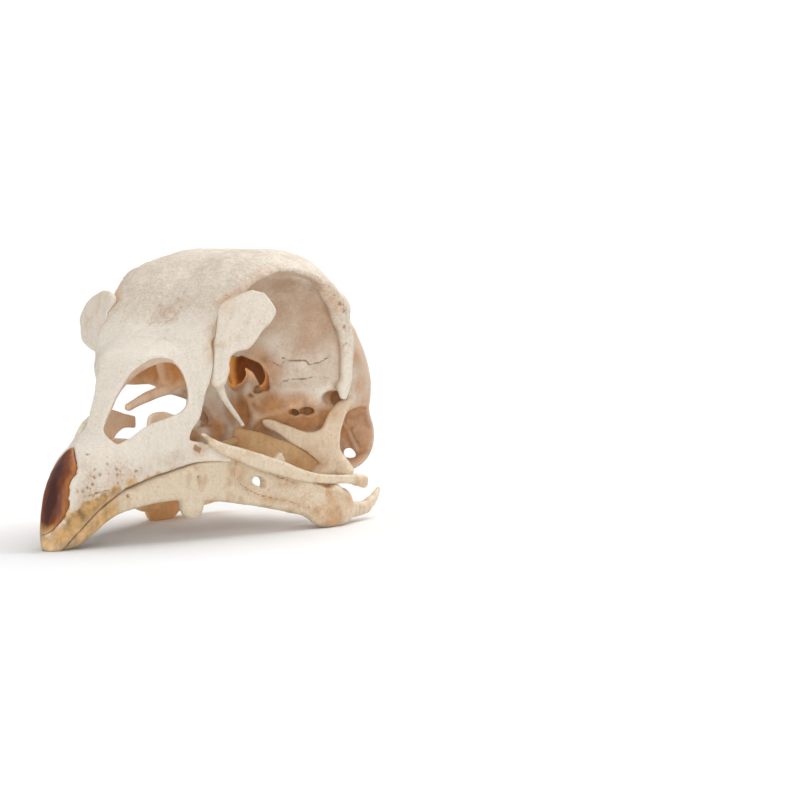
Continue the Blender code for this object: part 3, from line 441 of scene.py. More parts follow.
# ------------------------------------------------------------------ meshes from fields
def skin(field):
    """An even mesh of four-sided faces over the surface of a field."""
    f = field.value.copy()
    for axis in range(3):
        for end in (0, -1):
            rim = [slice(None)] * 3
            rim[axis] = end
            f[tuple(rim)] = np.maximum(f[tuple(rim)], 0.01)
    inside, n = f < 0, f.shape
    count = sum(inside[i:n[0] - 1 + i, j:n[1] - 1 + j, k:n[2] - 1 + k].astype(np.uint8)
                for i, j, k in CORNERS)
    crossed = (count > 0) & (count < 8)
    cells = np.argwhere(crossed)
    number = np.full(crossed.shape, -1, np.int64)
    number[crossed] = np.arange(len(cells))
    values = np.stack([f[tuple((cells + corner).T)] for corner in CORNERS], 1)
    total, hits = np.zeros((len(cells), 3)), np.zeros(len(cells))
    for a, b in EDGES:
        x = (values[:, a] < 0) != (values[:, b] < 0)
        t = values[x, a] / (values[x, a] - values[x, b])
        total[x] += CORNERS[a] + t[:, None] * (CORNERS[b] - CORNERS[a])
        hits[x] += 1
    places = field.low + field.step * (cells + total / hits[:, None])
    faces = []
    for axis in range(3):
        low, high = [slice(1, -1)] * 3, [slice(1, -1)] * 3
        low[axis], high[axis] = slice(0, -1), slice(1, None)
        a, b = inside[tuple(low)], inside[tuple(high)]
        start = np.array([1, 1, 1])
        start[axis] = 0
        du, dv = np.eye(3, dtype=int)[(axis + 1) % 3], np.eye(3, dtype=int)[(axis + 2) % 3]
        for wanted, order in ((a & ~b, 1), (~a & b, -1)):
            g = np.argwhere(wanted) + start
            quad = [number[tuple((g - o).T)] for o in (du * 0, du, du + dv, dv)]
            faces.append(np.stack(quad, 1)[:, ::order])
    return places, np.vstack(faces)


def neighbours(faces, count):
    pairs = np.vstack([faces[:, [i, (i + 1) % 4]] for i in range(4)])
    pairs = np.vstack([pairs, pairs[:, ::-1]])
    return pairs, np.bincount(pairs[:, 0], minlength=count)[:, None]


def averaged(values, pairs, degree):
    sums = [np.bincount(pairs[:, 0], values[pairs[:, 1], k], len(values)) for k in range(values.shape[1])]
    return np.stack(sums, 1) / degree


def evened(field, places, faces, rounds=2):
    """Evens the mesh and puts it back on the surface."""
    pairs, degree = neighbours(faces, len(places))
    h = field.step * 0.5
    for _ in range(rounds):
        places = places + 0.5 * (averaged(places, pairs, degree) - places)
        rise = [field.at(places + h * axis) - field.at(places - h * axis) for axis in np.eye(3)]
        slope = np.stack(rise, 1) / (2 * h)
        move = (field.at(places) / np.maximum((slope ** 2).sum(1), 0.05))[:, None] * slope
        length = np.linalg.norm(move, axis=1, keepdims=True)
        places = places - move * np.minimum(1, field.step * 0.7 / np.maximum(length, 1e-9))
    return places


def facing(places, faces):
    """Unit normals at the points of a mesh."""
    n = np.cross(places[faces[:, 2]] - places[faces[:, 0]], places[faces[:, 3]] - places[faces[:, 1]])
    total = np.stack([sum(np.bincount(faces[:, c], n[:, k], len(places)) for c in range(4))
                      for k in range(3)], 1)
    return total / np.maximum(np.linalg.norm(total, axis=1, keepdims=True), 1e-12)


def grain(places, size, seed):
    """Smooth random values from -1 to 1 that change over `size` mm."""
    table = np.random.default_rng(seed).uniform(-1, 1, (32, 32, 32))
    q = places / size
    i = np.floor(q).astype(int)
    t = q - i
    t = t * t * (3 - 2 * t)
    total = 0
    for corner in CORNERS:
        total = total + np.prod(np.where(corner, t, 1 - t), 1) * table[tuple(((i + corner) % 32).T)]
    return total


def ramp(x, low, high):
    """0 below low, 1 above high, smooth between."""
    t = np.clip((x - low) / (high - low), 0, 1)
    return t * t * (3 - 2 * t)


def to_lines(places, lines, most=4.0):
    """Distance to the nearest of some broken lines, up to most."""
    best = np.full(len(places), most)
    for line in lines:
        line = np.array(line, float)
        for a, b in zip(line[:-1], line[1:]):
            close = (places > np.minimum(a, b) - most) & (places < np.maximum(a, b) + most)
            near = np.flatnonzero(close.all(1))
            q = places[near] - a
            h = np.clip(q @ (b - a) / ((b - a) @ (b - a)), 0, 1)
            best[near] = np.minimum(best[near], np.linalg.norm(q - h[:, None] * (b - a), axis=1))
    return best


def to_spots(places, spots, most=4.0):
    """Distance to the nearest of some spots of x, y, z, radius; negative within one."""
    best = np.full(len(places), most)
    for spot in np.array(spots, float).reshape(-1, 4):
        best = np.minimum(best, np.linalg.norm(places - spot[:3], axis=1) - spot[3])
    return best


# ------------------------------------------------------------------ the bones
def open_orbits(bone):
    """The two eye openings with the ledge and the corner notch low on their hind wall."""
    bone.cut(both(ball(EYE_CENTRE, EYE_RADII)), 0.8)
    bone.cut(both(ball((10.3, 9.0, 30.0), (5.0, 6.0, 5.6))), 0.8)
    ledge = strap([
        (5.2, 13.4, 20.2, 0.3, 0.3), (6.6, 14.5, 20.0, 0.5, 0.4), (8.2, 15.7, 20.2, 0.6, 0.4),
        (9.6, 16.6, 19.9, 0.45, 0.4), (11.4, 17.3, 20.7, 0.5, 0.4), (13.0, 17.8, 20.9, 0.4, 0.4),
        (14.6, 16.8, 20.5, 0.3, 0.4)])
    bone.add(both(ledge), 0.9)
    notch = strap([(12.4, 18.6, 18.4, 0.7, 0.7), (11.5, 17.6, 16.6, 0.5, 0.5), (11.2, 17.0, 15.2, 0.3, 0.3)])
    bone.cut(both(ball((12.3, 18.3, 18.7), (1.35, 2.4, 1.25))), 0.3)
    bone.cut(both(notch), 0.3)


def add_middle_walls(bone):
    """The hollow under the forehead, with the wall between the eyes, its long spur and the keel below it."""
    bone.cut(loft(FOREHEAD_HOLLOW), 0.5)
    bone.add(plate((0, 0, 0), BACK, UP, SEPTUM, 0.75), 1.2)
    bone.add(both(plate((4.2, -6.8, 26), (1, 0.05, 0), (0, 0.1, 1), FOREHEAD_PLATE, 0.5)), 0.8)
    spur = [
        (0, 1, 19.2, 0.6, 0.9), (0, -4, 20.6, 0.7, 0.9), (0, -7, 21.0, 0.7, 0.8), (0, -11, 20.4, 0.6, 0.8),
        (0, -14.5, 19.6, 0.6, 0.7), (0, -17.0, 18.9, 0.6, 0.6)]
    keel = [
        (0, -12, 12.6, 0.7, 0.9), (0, 0, 13.6, 1.0, 1.3), (0, 9, 13.4, 1.6, 1.8), (0, 17, 12, 3.2, 2.4),
        (0, 24, 10.8, 6, 2.2)]
    bone.add(strap(on_curve(spur, 3)), 0.7)
    bone.add(strap(keel), 1.5)


def add_hind_rims(bone):
    """The rim behind each eye, with the groove behind it."""
    rim = strap([
        (14.3, 13.0, 35.0, 0.9, 1.1), (14.8, 16.0, 32, 0.9, 1.2), (15.2, 17.5, 27, 0.85, 1.1),
        (15.2, 17.4, 22, 0.75, 1.0), (15.1, 16.8, 19.2, 0.5, 0.7)])
    groove = strap([(15.6, 19.8, 31.5, 0.3, 0.3), (16.0, 20.2, 27, 0.4, 0.4), (15.7, 19.9, 21, 0.4, 0.4)])
    bone.add(both(rim), 1.4)
    bone.cut(both(groove), 0.9)
    bone.add(both(ball((14.5, 16.7, 32.2), (1.2, 1.5, 2.2))), 1.2)


def open_ears(bone):
    """The swelling of each ear, its hollow, the gap in its lower edge and the ridge inside."""
    bone.add(both(ball((9.6, 26.0, 12.6), (4.2, 5.6, 5.3))), 1.2)
    bone.cut(both(ball((13.4, 24.7, 12.7), (5.6, 5.2, 4.6))), 0.35)
    gap = strap([(13.2, 21.6, 10.3, 0.7, 0.9), (10.0, 27.0, 9.9, 0.75, 1.0), (5.6, 34.4, 9.4, 0.8, 1.1)],
                side=UP)
    ridge = strap([(9.2, 24.6, 16.0, 0.5, 0.5), (9.0, 27.6, 13.6, 0.5, 0.5), (10.4, 28.4, 10.4, 0.5, 0.5)])
    bone.cut(both(gap), 0.3)
    bone.add(both(ridge), 0.7)
    bone.cut(both(ball((9.4, 25.6, 12.4), (1.2, 1.1, 0.9))), 0.3)


def shape_nape(bone):
    """The way out for the spinal cord, and the knob that the neck turned on."""
    bone.cut(ball((0, 34.5, 17.2), (3.6, 6, 4.0), tilt=20), 0.6)
    bone.add(ball((0, 32.2, 12.6), (1.7, 1.7, 1.5)), 1.0)


def open_nerve_ways(bone):
    """The opening through the wall between the eyes, the slits beside it and the small round holes."""
    bone.cut(ball((0, 15.0, 22.6), (2.9, 5.4, 3.8)), 0.4)
    bone.cut(ball((0, 9.2, 22.6), (1.3, 1.7, 2.7)), 0.3)
    bone.cut(plate((0, 10.5, 22.5), BACK, UP, NERVE_OPENING, 3.4), 0.25)
    slit = strap([
        (1.6, 9.8, 24.6, 1.6, 0.55), (2.9, 12.0, 23.3, 2.0, 0.8), (3.6, 12.5, 21.8, 2.0, 0.85),
        (4.2, 12.3, 20.5, 2.0, 0.65)], side=(0.6, -0.75, 0))
    bone.cut(both(slit), 0.2)
    for centre, radii in NERVE_HOLES:
        bone.cut(both(ball(centre, radii)), 0.15)


def open_nose(bill, outer):
    """The room inside the bill, the nostrils, the gap behind the nasal bars and the bones in the nose."""
    bill.cut(shared(grown(outer, -1.2), loft(NOSE_ROOM)), 0.5)
    bill.cut(both(plate((5.2, -19.6, 20.0), (0.86, 0.51, 0), (-0.03, 0.05, 1), NOSTRIL, 6.0)), 0.5)
    bill.cut(both(plate((9.5, -9, 20), BACK, UP, BEHIND_NASAL_BAR, 6.0)), 0.5)
    bill.add(both(plate((4.5, -11, 16), BACK, UP, PALATE_WING, 0.35)), 0.4)
    bill.add(both(plate((5.6, -15, 13.3), ACROSS, BACK, PALATE_SHELF, 0.45)), 0.5)
    bill.add(plate((0, -24, 12.4), ACROSS, BACK, PALATE_FRONT, 0.7), 0.8)


def make_skull():
    """Braincase, forehead, septum and upper bill, grown together. Returns the bone and its whole hull."""
    bone = Field(*WHOLE_BOX, GRAIN)
    bone.add(loft(CRANIUM_ROWS), 0.3)
    hull = bone.value.copy()
    for step in (open_orbits, add_middle_walls, add_hind_rims, open_ears, shape_nape, open_nerve_ways):
        step(bone)

    bill = Field(*WHOLE_BOX, GRAIN)
    outer = narrowed(loft(BILL_ROWS))
    bill.add(outer, 0.2)
    hull = np.minimum(hull, bill.value)
    open_nose(bill, outer)
    bill.cut(half_space((0, -10.8, 29.2), (0, 0.75, 0.66)), 0.1)
    bill.cut(half_space((0, -9.2, 20), BACK), 0.1)
    bill.cut(less(grown(horn_area(), 0.05), grown(bill_tip(), -0.65)), 0.1)
    bone.join(bill, 1.2)
    cheek_root = strap([
        (8.6, -14.0, 12.7, 1.5, 0.7), (9.9, -10.4, 12.2, 1.1, 0.5), (10.9, -7.6, 11.5, 0.6, 0.4)], side=UP)
    bone.add(both(cheek_root), 0.6)
    for side in SIDES:
        seat = lacrimal_plate(side, 1.3, 1.8)
        bone.cut(seat if side == "L" else flipped(seat), 0.05)
    bone.cut(half_space(*FLOOR_SIDE), 0.1)
    return bone, hull


def narrowed(form):
    """A form with the middle of its right side a little slimmer; the bill isn't quite even."""
    def distance(p):
        x, y, z = p[..., 0], p[..., 1], p[..., 2]
        slim = ramp(y, -31, -23) * ramp(-y, 6, 12) * ramp(z, 10, 15) * ramp(-z, -29, -24)
        return form.distance(np.stack([np.where(x < 0, x * (1 + 0.18 * slim), x), y, z], -1))
    return Form(form.low, form.high, distance, form.broad)


def horn_area():
    return plate((0, -34.0, 0), ACROSS, UP, HORN_FRONT, 8.0, steps=3)


def bill_tip():
    return loft(BILL_ROWS[:7])


def make_horn():
    """What is left of the horn sheath: a strip over the ridge of the tip."""
    sheath = Field(*HORN_BOX, FINE * 0.8)
    sheath.add(grown(bill_tip(), 0.1), 0.1)
    sheath.keep(horn_area(), 0.25)
    sheath.cut(grown(bill_tip(), -0.6), 0.1)
    return sheath


def lacrimal_plate(side, forward, half, dome=0):
    """The plate of the bone in front of the eye, as if on the left; also the form of its seat."""
    centre = np.array((13.6, -6.6, 30.6)) + forward * unit((0.413, -0.836, 0.207))
    outline = LACRIMAL_WING[side] + LACRIMAL_FOOT
    return plate(centre, (0.86, 0.40, -0.10), (0.02, 0.25, 0.97), outline, half, dome=dome)


def make_lacrimal(side):
    """The bone in front of the eye; on the right side the end of its needle is broken off."""
    needle = [
        (10.4, -9.2, 27, 1.0, 0.6), (10.1, -9.6, 23, 0.8, 0.55), (9.6, -7, 20, 0.5, 0.45),
        (9.1, -1.4, 15.8, 0.3, 0.3)]
    bone = Field(*LACRIMAL_BOX, FINE)
    bone.add(lacrimal_plate(side, 0, 0.5, dome=-0.01), 0.3)
    bone.add(strap(needle if side == "L" else needle[:3], side=(0.3, 0.95, 0)), 0.6)
    return bone


def make_jugal():
    """Two thin rods grown together side by side, with a hook at the hind end."""
    bone = Field(*JUGAL_BOX, FINE)
    for way, rod in ((1, JUGAL[:-1]), (-1, JUGAL[1:])):
        rows = [(x, y, z + way * 0.45 * half, 0.56 * half, 0.48) for x, y, z, half in rod]
        bone.add(strap(on_curve(rows, 3), side=(0, 0.1, 1)), 0.25)
    bone.add(strap([(15.3, 19.6, 6.7, 0.8, 0.6), (15.1, 22.8, 6.2, 0.9, 0.6)], side=(0, 0.1, 1)), 0.4)
    return bone


def make_quadrate():
    """The bone that the lower jaw hangs on: a blade into the eye opening, a pillar and two rollers."""
    bone = Field(*QUADRATE_BOX, FINE)
    bone.add(plate((12.6, 18.0, 12.0), (0.68, 0.73, 0), UP, QUADRATE_BLADE, 0.6), 0.3)
    bone.add(strap([
        (13.4, 18.9, 17.4, 0.8, 0.8), (12.6, 18.1, 14.0, 0.7, 0.9), (12.4, 17.8, 10.5, 1.0, 1.1),
        (13.1, 17.8, 8.6, 2.0, 1.2)], side=(0.68, 0.73, 0)), 0.7)
    bone.add(ball((14.4, 18.6, 7.9), (1.1, 1.5, 1.0)), 0.6)
    bone.add(ball((11.4, 16.2, 7.9), (1.6, 1.5, 1.0)), 0.8)
    return bone


def make_pterygoid():
    """The rod from the keel of the skull back to the quadrate."""
    bone = Field(*PTERYGOID_BOX, FINE)
    bone.add(strap([
        (3.2, 5.6, 13.3, 1.5, 0.5), (5.2, 8.8, 12.3, 1.7, 0.55), (7.6, 12.2, 10.6, 1.85, 0.6),
        (9.3, 14.5, 9.4, 1.7, 0.65), (10.6, 15.9, 8.6, 1.1, 0.6)], side=UP), 0.5)
    return bone


def make_palatine():
    """The long blade in the roof of the mouth."""
    bone = Field(*PALATINE_BOX, FINE)
    bone.add(strap(on_curve([
        (3.4, -26, 11.2, 0.9, 0.45), (3.6, -18, 11.3, 1.0, 0.45), (3.8, -10, 11.3, 1.3, 0.45),
        (3.6, -3, 11.8, 1.7, 0.5), (2.9, 4.8, 12.6, 1.4, 0.6)], 3), side=(1, 0, 0.4)), 0.3)
    return bone


def sagging(form):
    """A form of both sides with its right half hanging lower, as FAR_SAG says."""
    def distance(p):
        drop = np.where(p[..., 0] < 0, np.interp(p[..., 1], *FAR_SAG), 0) * ramp(-p[..., 0], 2, 6)
        return form.distance(np.concatenate([p[..., :2], p[..., 2:] + drop[..., None]], -1))
    return Form(form.low - [0, 0, max(FAR_SAG[1])], form.high - [0, 0, min(FAR_SAG[1])], distance, form.broad)


def make_mandible():
    """The lower jaw: two rami that meet at the tip, with their heels, joints, angles, knobs and windows."""
    bone = Field(*JAW_BOX, GRAIN)
    heel = strap([
        (14.0, 18, 2.5, 1.75, 1.4), (13.6, 22, 1.8, 1.15, 0.95), (13.0, 26.5, 1.85, 1.0, 0.75),
        (12.3, 30, 2.8, 0.8, 0.6), (12.0, 32, 4.2, 0.35, 0.35)], side=(0, 0.3, 1))
    joint_shelf = strap([(11.4, 13.2, 5.4, 1.4, 1.0), (14.6, 14.6, 5.2, 1.4, 1.2)], side=BACK)
    muscle_point = strap([(11.5, 3.2, 9.4, 1.1, 0.45), (11.4, 5.4, 10.7, 0.95, 0.4)], side=BACK)
    knob_root = strap([(8.0, -13.4, 7.0, 2.4, 0.9), (8.0, -13.1, 5.0, 1.9, 1.2)], side=BACK)
    bone.add(sagging(both(strap(on_curve(RAMUS, 3), side=UP))), 0.4)
    bone.add(sagging(both(heel)), 1.2)
    bone.add(both(joint_shelf), 1.2)
    bone.add(both(muscle_point), 0.6)
    for centre, radii in ANGLES:
        bone.add(ball(centre, radii), 1.0)
    bone.cut(half_space(*FLOOR_SIDE), 0.15)
    bone.add(both(knob_root), 0.8)
    bone.add(both(ball((8.0, -12.9, 4.8), (1.5, 2.0, 1.9))), 0.6)
    for centre, radii, tilt, blend in JAW_WINDOWS:
        bone.cut(both(ball(centre, radii, tilt)), blend)
    return bone


# ------------------------------------------------------------------ marks on the bones, in mm
# Lines are places in a row, spots are x, y, z and radius. They lie on both sides, but for the grooves, the
# stains and painted shade spots of the skull and the warm spots of the jaw, which are only where they say.
SKULL_CRACKS = [
    [(10.6, -7.3, 34.1), (9.8, -8.3, 32.7), (9.6, -9.0, 31.2), (10.0, -10.1, 29.1), (9.6, -9.7, 27.0),
     (10.3, -10.6, 25.9)],
    [(5.6, 15.0, 24.7), (6.2, 15.4, 24.4), (7.4, 16.2, 24.3), (8.4, 16.7, 24.4), (9.0, 16.9, 23.8),
     (10.3, 17.4, 24.0), (11.3, 17.7, 24.6), (11.8, 17.8, 24.9)],
    [(3.7, 13.0, 24.2), (4.4, 13.8, 24.2), (5.0, 14.3, 23.8), (5.5, 14.7, 23.4), (5.7, 15.0, 24.1)],
    [(5.7, 13.9, 20.7), (6.0, 14.4, 21.3), (6.9, 15.2, 21.6), (8.3, 16.1, 21.6), (9.6, 16.8, 21.9)],
    [(2.0, -34.2, 1.2), (2.6, -33.1, 2.4), (3.3, -31.2, 4.1), (4.0, -29.7, 5.4), (4.7, -28.3, 6.0),
     (5.3, -26.5, 6.7), (6.2, -23.5, 8.4)],
    [(3.4, -32.5, 7.4), (4.4, -30.3, 7.9), (5.3, -28.0, 8.2), (5.5, -24.6, 8.3), (6.4, -22.2, 8.9),
     (7.0, -19.9, 9.6)],
    [(14.9, 21.0, 27.0), (12.6, 24.6, 30.2), (7.0, 27.5, 33.0), (0, 28.5, 32.8)],
    [(0, 30.6, 23.0), (4.0, 30.4, 22.0), (8.2, 29.0, 18.0), (9.4, 28.5, 14.0)],
]
FOREHEAD_GROOVES = [
    [(-2.5, -13.0, 28.7), (-1.1, -10.0, 30.8), (0.3, -8.2, 32.5)], [(-1.8, -7.6, 33.2), (-1.2, -10.2, 30.8)],
    [(1.9, -14.4, 27.7), (2.7, -11.7, 29.8)], [(1.2, -10.1, 30.7), (2.8, -8.1, 32.8)],
    [(-4.2, -15.1, 26.9), (-2.4, -18.9, 24.5), (-1.5, -21.1, 22.2), (-1.3, -22.2, 20.9)]]
# pits of the bone; those in the nerve holes, the notch behind the eye and the ear are darkened as painted
# shade of those holes
SKULL_PITS = [
    (15.6, 13.6, 34.3, 0.22), (15.8, 14.7, 33.0, 0.3), (16.0, 15.6, 31.8, 0.3), (15.6, 15.6, 30.6, 0.22),
    (15.8, 16.1, 29.5, 0.25), (15.4, 16.4, 26.8, 0.2), (15.7, 16.5, 27.0, 0.2), (12.0, 3.6, 38.1, 0.25),
    (2.8, -33.2, 8.2, 0.18), (3.2, -32.6, 8.2, 0.16), (3.5, -31.9, 8.6, 0.2), (3.8, -31.1, 9.1, 0.2),
    (3.6, -32.2, 7.1, 0.15), (4.1, -29.8, 10.3, 0.22), (3.8, -30.6, 9.9, 0.16), (5.2, -27.2, 11.0, 0.25),
    (5.4, -27.3, 10.1, 0.2), (4.4, -28.3, 11.7, 0.2), (1.9, -29.8, 13.1, 0.2), (3.5, -31.0, 10.2, 0.15),
    (6.5, -24.3, 10.5, 0.3), (9.4, -13.7, 13.2, 0.5), (9.6, -13.1, 12.9, 0.4), (5.0, 30.4, 20.0, 0.4),
    (6.2, 26.0, 32.5, 0.25), (3.5, 27.6, 32.6, 0.2), (7.8, 15.4, 16.8, 0.6), (9.1, 16.9, 16.9, 0.75),
    (3.5, 11.6, 20.1, 0.6), (3.2, 10.0, 19.3, 0.3), (12.4, 20.3, 18.7, 1.3), (9.2, 26.6, 12.4, 0.7),
    (9.5, 28.4, 13.6, 0.3), (10.2, 29.0, 11.6, 0.3)]
# stains of the skull; the first four spots are painted shade under the roof of the eye openings
SKULL_STAINS_AND_SHADE = [
    (8.5, 10.8, 36.4, 2.4), (11.2, 6.0, 36.6, 1.5), (12.6, 11.6, 35.2, 1.5), (6.5, 13.0, 32.5, 1.5),
    (7.8, 16.4, 26.7, 0.9), (0.6, -8.4, 32.0, 1.3), (1.9, -6.6, 33.8, 0.9), (2.6, -9.4, 31.2, 0.7),
    (14.8, 21.5, 24.4, 1.4), (14.3, 22.5, 28.0, 1.0), (-12.5, 20, 33, 2), (4, 29, 27, 2)]
# Warm spots and lines: amber painted in recesses, under the eye's rim and along creases, as shade and as light
# shining through thin bone.
SKULL_WARM = [
    (8.0, 15.0, 15.5, 4.0), (4.5, 10.5, 15.0, 3.4), (11.5, 18.5, 15.0, 3.0), (9.2, 17.0, 15.0, 2.4),
    (5.4, 12.0, 16.4, 3.4), (3.0, 8.6, 17.2, 2.6), (7.4, 14.8, 17.0, 0.9), (3, 12, 15, 3),
    (11.8, 18.6, 17.5, 1.2), (13.0, 18.8, 19.2, 0.9), (2, 3, 17.0, 1.6), (1.4, 4.0, 14.6, 2.4),
    (1.0, -2.0, 14.0, 2.2), (15.0, 20.5, 25.0, 0.6), (15.0, 22.5, 20.5, 0.9), (14.6, 21.0, 29.0, 0.3),
    (12.4, 22.8, 9.0, 2.2), (11.6, 24.6, 12.6, 1.6), (13.4, 25, 12.6, 5.6), (0, 14, 22.4, 5.0),
    (2.0, 10.5, 22.4, 1.7), (4.5, -7.0, 21, 2.6), (6.5, -10.0, 15.5, 2.4), (2.5, -7.6, 23.7, 2.5),
    (5.5, -9.0, 24.5, 2.0), (9.9, -9.2, 31.0, 0.15), (9.7, -10.2, 28.0, 0.2), (9.8, -10.6, 26.2, 0.3),
    (8.8, -13.4, 13.0, 0.5), (7.6, -16.4, 21.8, 0.4), (0, -4, 20.2, 1.5), (0, -12, 20, 0.5)]
WARM_LINES = [
    [(9.3, -6.9, 33.4), (11.0, -3.7, 35.4), (11.5, 0.9, 37.6), (11.7, 2.9, 37.8), (11.0, 7.1, 37.0),
     (13.3, 9.6, 36.7), (15.0, 12.4, 34.7), (15.1, 14.8, 32.6)],
    [(14.6, 16.6, 32), (14.4, 17.2, 27), (14.2, 17.2, 22), (13.8, 17.2, 20.4)],
    [(8.9, -11.6, 14.6), (9.6, -12.6, 13.3)], [(10.0, -9.4, 31.6), (9.6, -10.4, 28.6), (9.8, -10.8, 26.0)]]
# spots on the hind wall of the eye opening where most of the painted shade of the inside is left off
SKULL_PALE = [(9.0, 16.6, 21.8, 2.6), (12.6, 18.0, 23.5, 2.6), (7.0, 15.0, 20.6, 1.0), (5.5, 14, 26, 1.4)]
HUSK_SPOTS = [
    (0.8, -36.2, 0.8, 1.8), (1.5, -35.2, 2.0, 1.9), (2.6, -33.5, 3.6, 1.9), (3.3, -32.0, 4.9, 1.8),
    (4.2, -29.8, 6.0, 1.6), (5.0, -27.5, 7.0, 1.4), (5.8, -25.0, 8.0, 1.2), (6.6, -22.5, 8.9, 0.9),
    (7.2, -20.0, 9.6, 0.7), (7.7, -17.6, 10.2, 0.5)]
WORN = [(15.8, 14.6, 32.6, 1.6), (15.8, 16.0, 30.0, 1.2), (14.5, 12.0, 35.4, 1.4), (12.0, 4.0, 38.2, 1.2),
        (3.6, -30.5, 9.0, 2.2), (5.0, -26.0, 10.0, 2.0), (15.4, 16.6, 26.0, 0.8), (0.4, -8.6, 31.8, 2.0)]
JAW_CRACKS = [
    [(11.0, -5.6, 10.9), (10.9, -6.0, 9.7), (10.9, -5.9, 8.6), (11.1, -4.6, 7.4), (11.5, -2.8, 6.4),
     (11.9, -0.7, 5.6), (12.6, 2.2, 4.9), (13.4, 5.2, 4.3), (14.6, 8.5, 2.9)],
    [(12.6, 2.5, 8.1), (13.0, 3.8, 7.8), (13.3, 5.1, 7.2), (13.6, 6.0, 6.8)],
    [(12.7, 3.0, 7.0), (12.9, 3.6, 6.8), (13.2, 4.5, 6.9)], [(14.8, 10.2, 6.6), (15.1, 13.0, 6.1)],
    [(15.7, 12.4, 5.3), (16.0, 15.0, 4.2)]]
JAW_PITS = [
    (5.7, -25.3, 7.1, 0.3), (13.1, 2.7, 7.9, 0.25), (13.4, 3.7, 8.0, 0.25), (13.6, 4.4, 7.5, 0.2),
    (13.9, 5.6, 6.9, 0.22), (13.1, 2.7, 7.1, 0.2), (13.7, 4.8, 6.5, 0.2), (7.4, -20, 8, 0.2),
    (9.3, -13, 9, 0.2)]
# warm spots of the jaw: amber painted on the angles, as shade and as light shining through the far one
JAW_WARM = [(14.5, 13, 1.5, 2.6), (-14, 6, 2, 4.0), (-13, 12, 1, 4.0), (15, 17, 4, 1.4), (11.4, -5, 8.6, 0.8)]
SMALL_WARM = [
    (11.3, 15.2, 9.2, 0.9), (10.2, 14.6, 10.6, 0.6), (6.0, 10.0, 14.0, 0.8), (3.4, 6.0, 12.4, 1.2),
    (15.2, 21.5, 6.0, 0.9), (12.2, -8.0, 11.2, 0.3), (13.2, 17.2, 16.8, 0.7), (8.6, 13.6, 8.9, 1.0),
    (5.0, 9.4, 10.6, 0.7)]
# the wall between the eyes gets a painted glow here: self-lit colour for light shining through it
NERVE_GLOW = [(0, 13.0, 22.4, 3.6)]
FOREHEAD_DIMPLE, DIMPLE_REACH = (-0.3, -0.9, 38.1), (2.4, 2.0, 3.0)


def mirrored_over(places):
    return np.concatenate([np.abs(places[:, :1]), places[:, 1:]], 1)


def pressed(distance, reach):
    """How much of a mark's depth is left at a distance from its middle line."""
    return np.exp(-(distance / reach) ** 2)


def skull_marks(places, normals):
    """Roughness of the roof, grooves, cracks, pits and stains of the skull bone, and where painted shade and a
    painted glow go.
    """
    folded = mirrored_over(places)
    aside, y, z = folded.T
    # how deep each point lies inside the hull; the material paints shade on the deeper points
    depth = np.clip(-skull.at(places, hull), 0, 8)
    roof = ramp(z + 0.15 * y, 27.5, 32.5) * (1 - ramp(depth, 0.6, 1.6))
    to_groove = to_lines(places, FOREHEAD_GROOVES)
    to_crack = np.minimum(to_lines(folded, SKULL_CRACKS), to_groove + 0.25)
    to_pit = to_spots(folded, SKULL_PITS)
    to_dimple = np.linalg.norm((places - FOREHEAD_DIMPLE) / DIMPLE_REACH, axis=1)
    streaks = ramp(aside, 12.2, 13.6) * ramp(y, 18.5, 20.5) * ramp(z, 16, 19)
    worn = 1 - ramp(to_spots(folded, WORN), -0.4, 1.2)

    relief = (0.10 * grain(places, 1.7, 1) + 0.05 * grain(places, 0.8, 2)) * roof
    relief += 0.05 * grain(places, 2.6, 3) * (1 - roof)
    relief -= 0.28 * pressed(to_groove, 0.45) + 0.05 * pressed(to_crack, 0.4)
    relief -= 0.22 * (1 - ramp(to_pit, -0.1, 0.3)) + 0.45 * pressed(to_dimple, 1)
    relief += 0.03 * streaks * grain(places * (1, 1, 0.35), 0.6, 4)
    relief += 0.09 * worn * grain(places, 0.75, 9)

    pale = 1 - ramp(to_spots(folded, SKULL_PALE), -0.5, 2.2)
    to_husk = to_spots(folded, HUSK_SPOTS) + 0.55 * grain(places, 1.3, 8) + 0.3 * grain(places, 0.5, 10)
    # inside the bill a painted glow: self-lit colour for light shining through its thin walls
    nose_glow = 0.26 * ramp(depth, 0.5, 1.5) * ramp(-y, 5.5, 8)
    # the hind-facing sides of the temples are darker, partly in their own colour and partly as painted shade;
    # the low parts are darker towards the bottom, and the bill's edge is browned by the husk of horn
    temple = ramp(aside, 8, 11) * ramp(normals[:, 1], -0.3, 0.1) * ramp(y, 15, 19) * ramp(-z, -34, -28)
    browned_and_shaded = 0.5 * (1 - ramp(to_husk, 0, 4.5)) + 0.25 * ramp(-z, -17, -12) + 0.85 * temple
    return relief, {
        "depth": np.maximum(ramp(depth, 0.8, 4.0) * (1 - 0.85 * pale), browned_and_shaded), "roof": roof,
        "streaks": streaks, "to_crack": to_crack, "to_pit": to_pit, "worn": worn,
        "to_stain_and_shade": to_spots(places, SKULL_STAINS_AND_SHADE), "husk": 1 - ramp(to_husk, -0.15, 0.25),
        "glow": np.maximum(1 - ramp(to_spots(places, NERVE_GLOW), -0.6, 0.4), nose_glow),
        "to_warm": np.minimum(to_spots(folded, SKULL_WARM), to_lines(folded, WARM_LINES) - 0.3)}


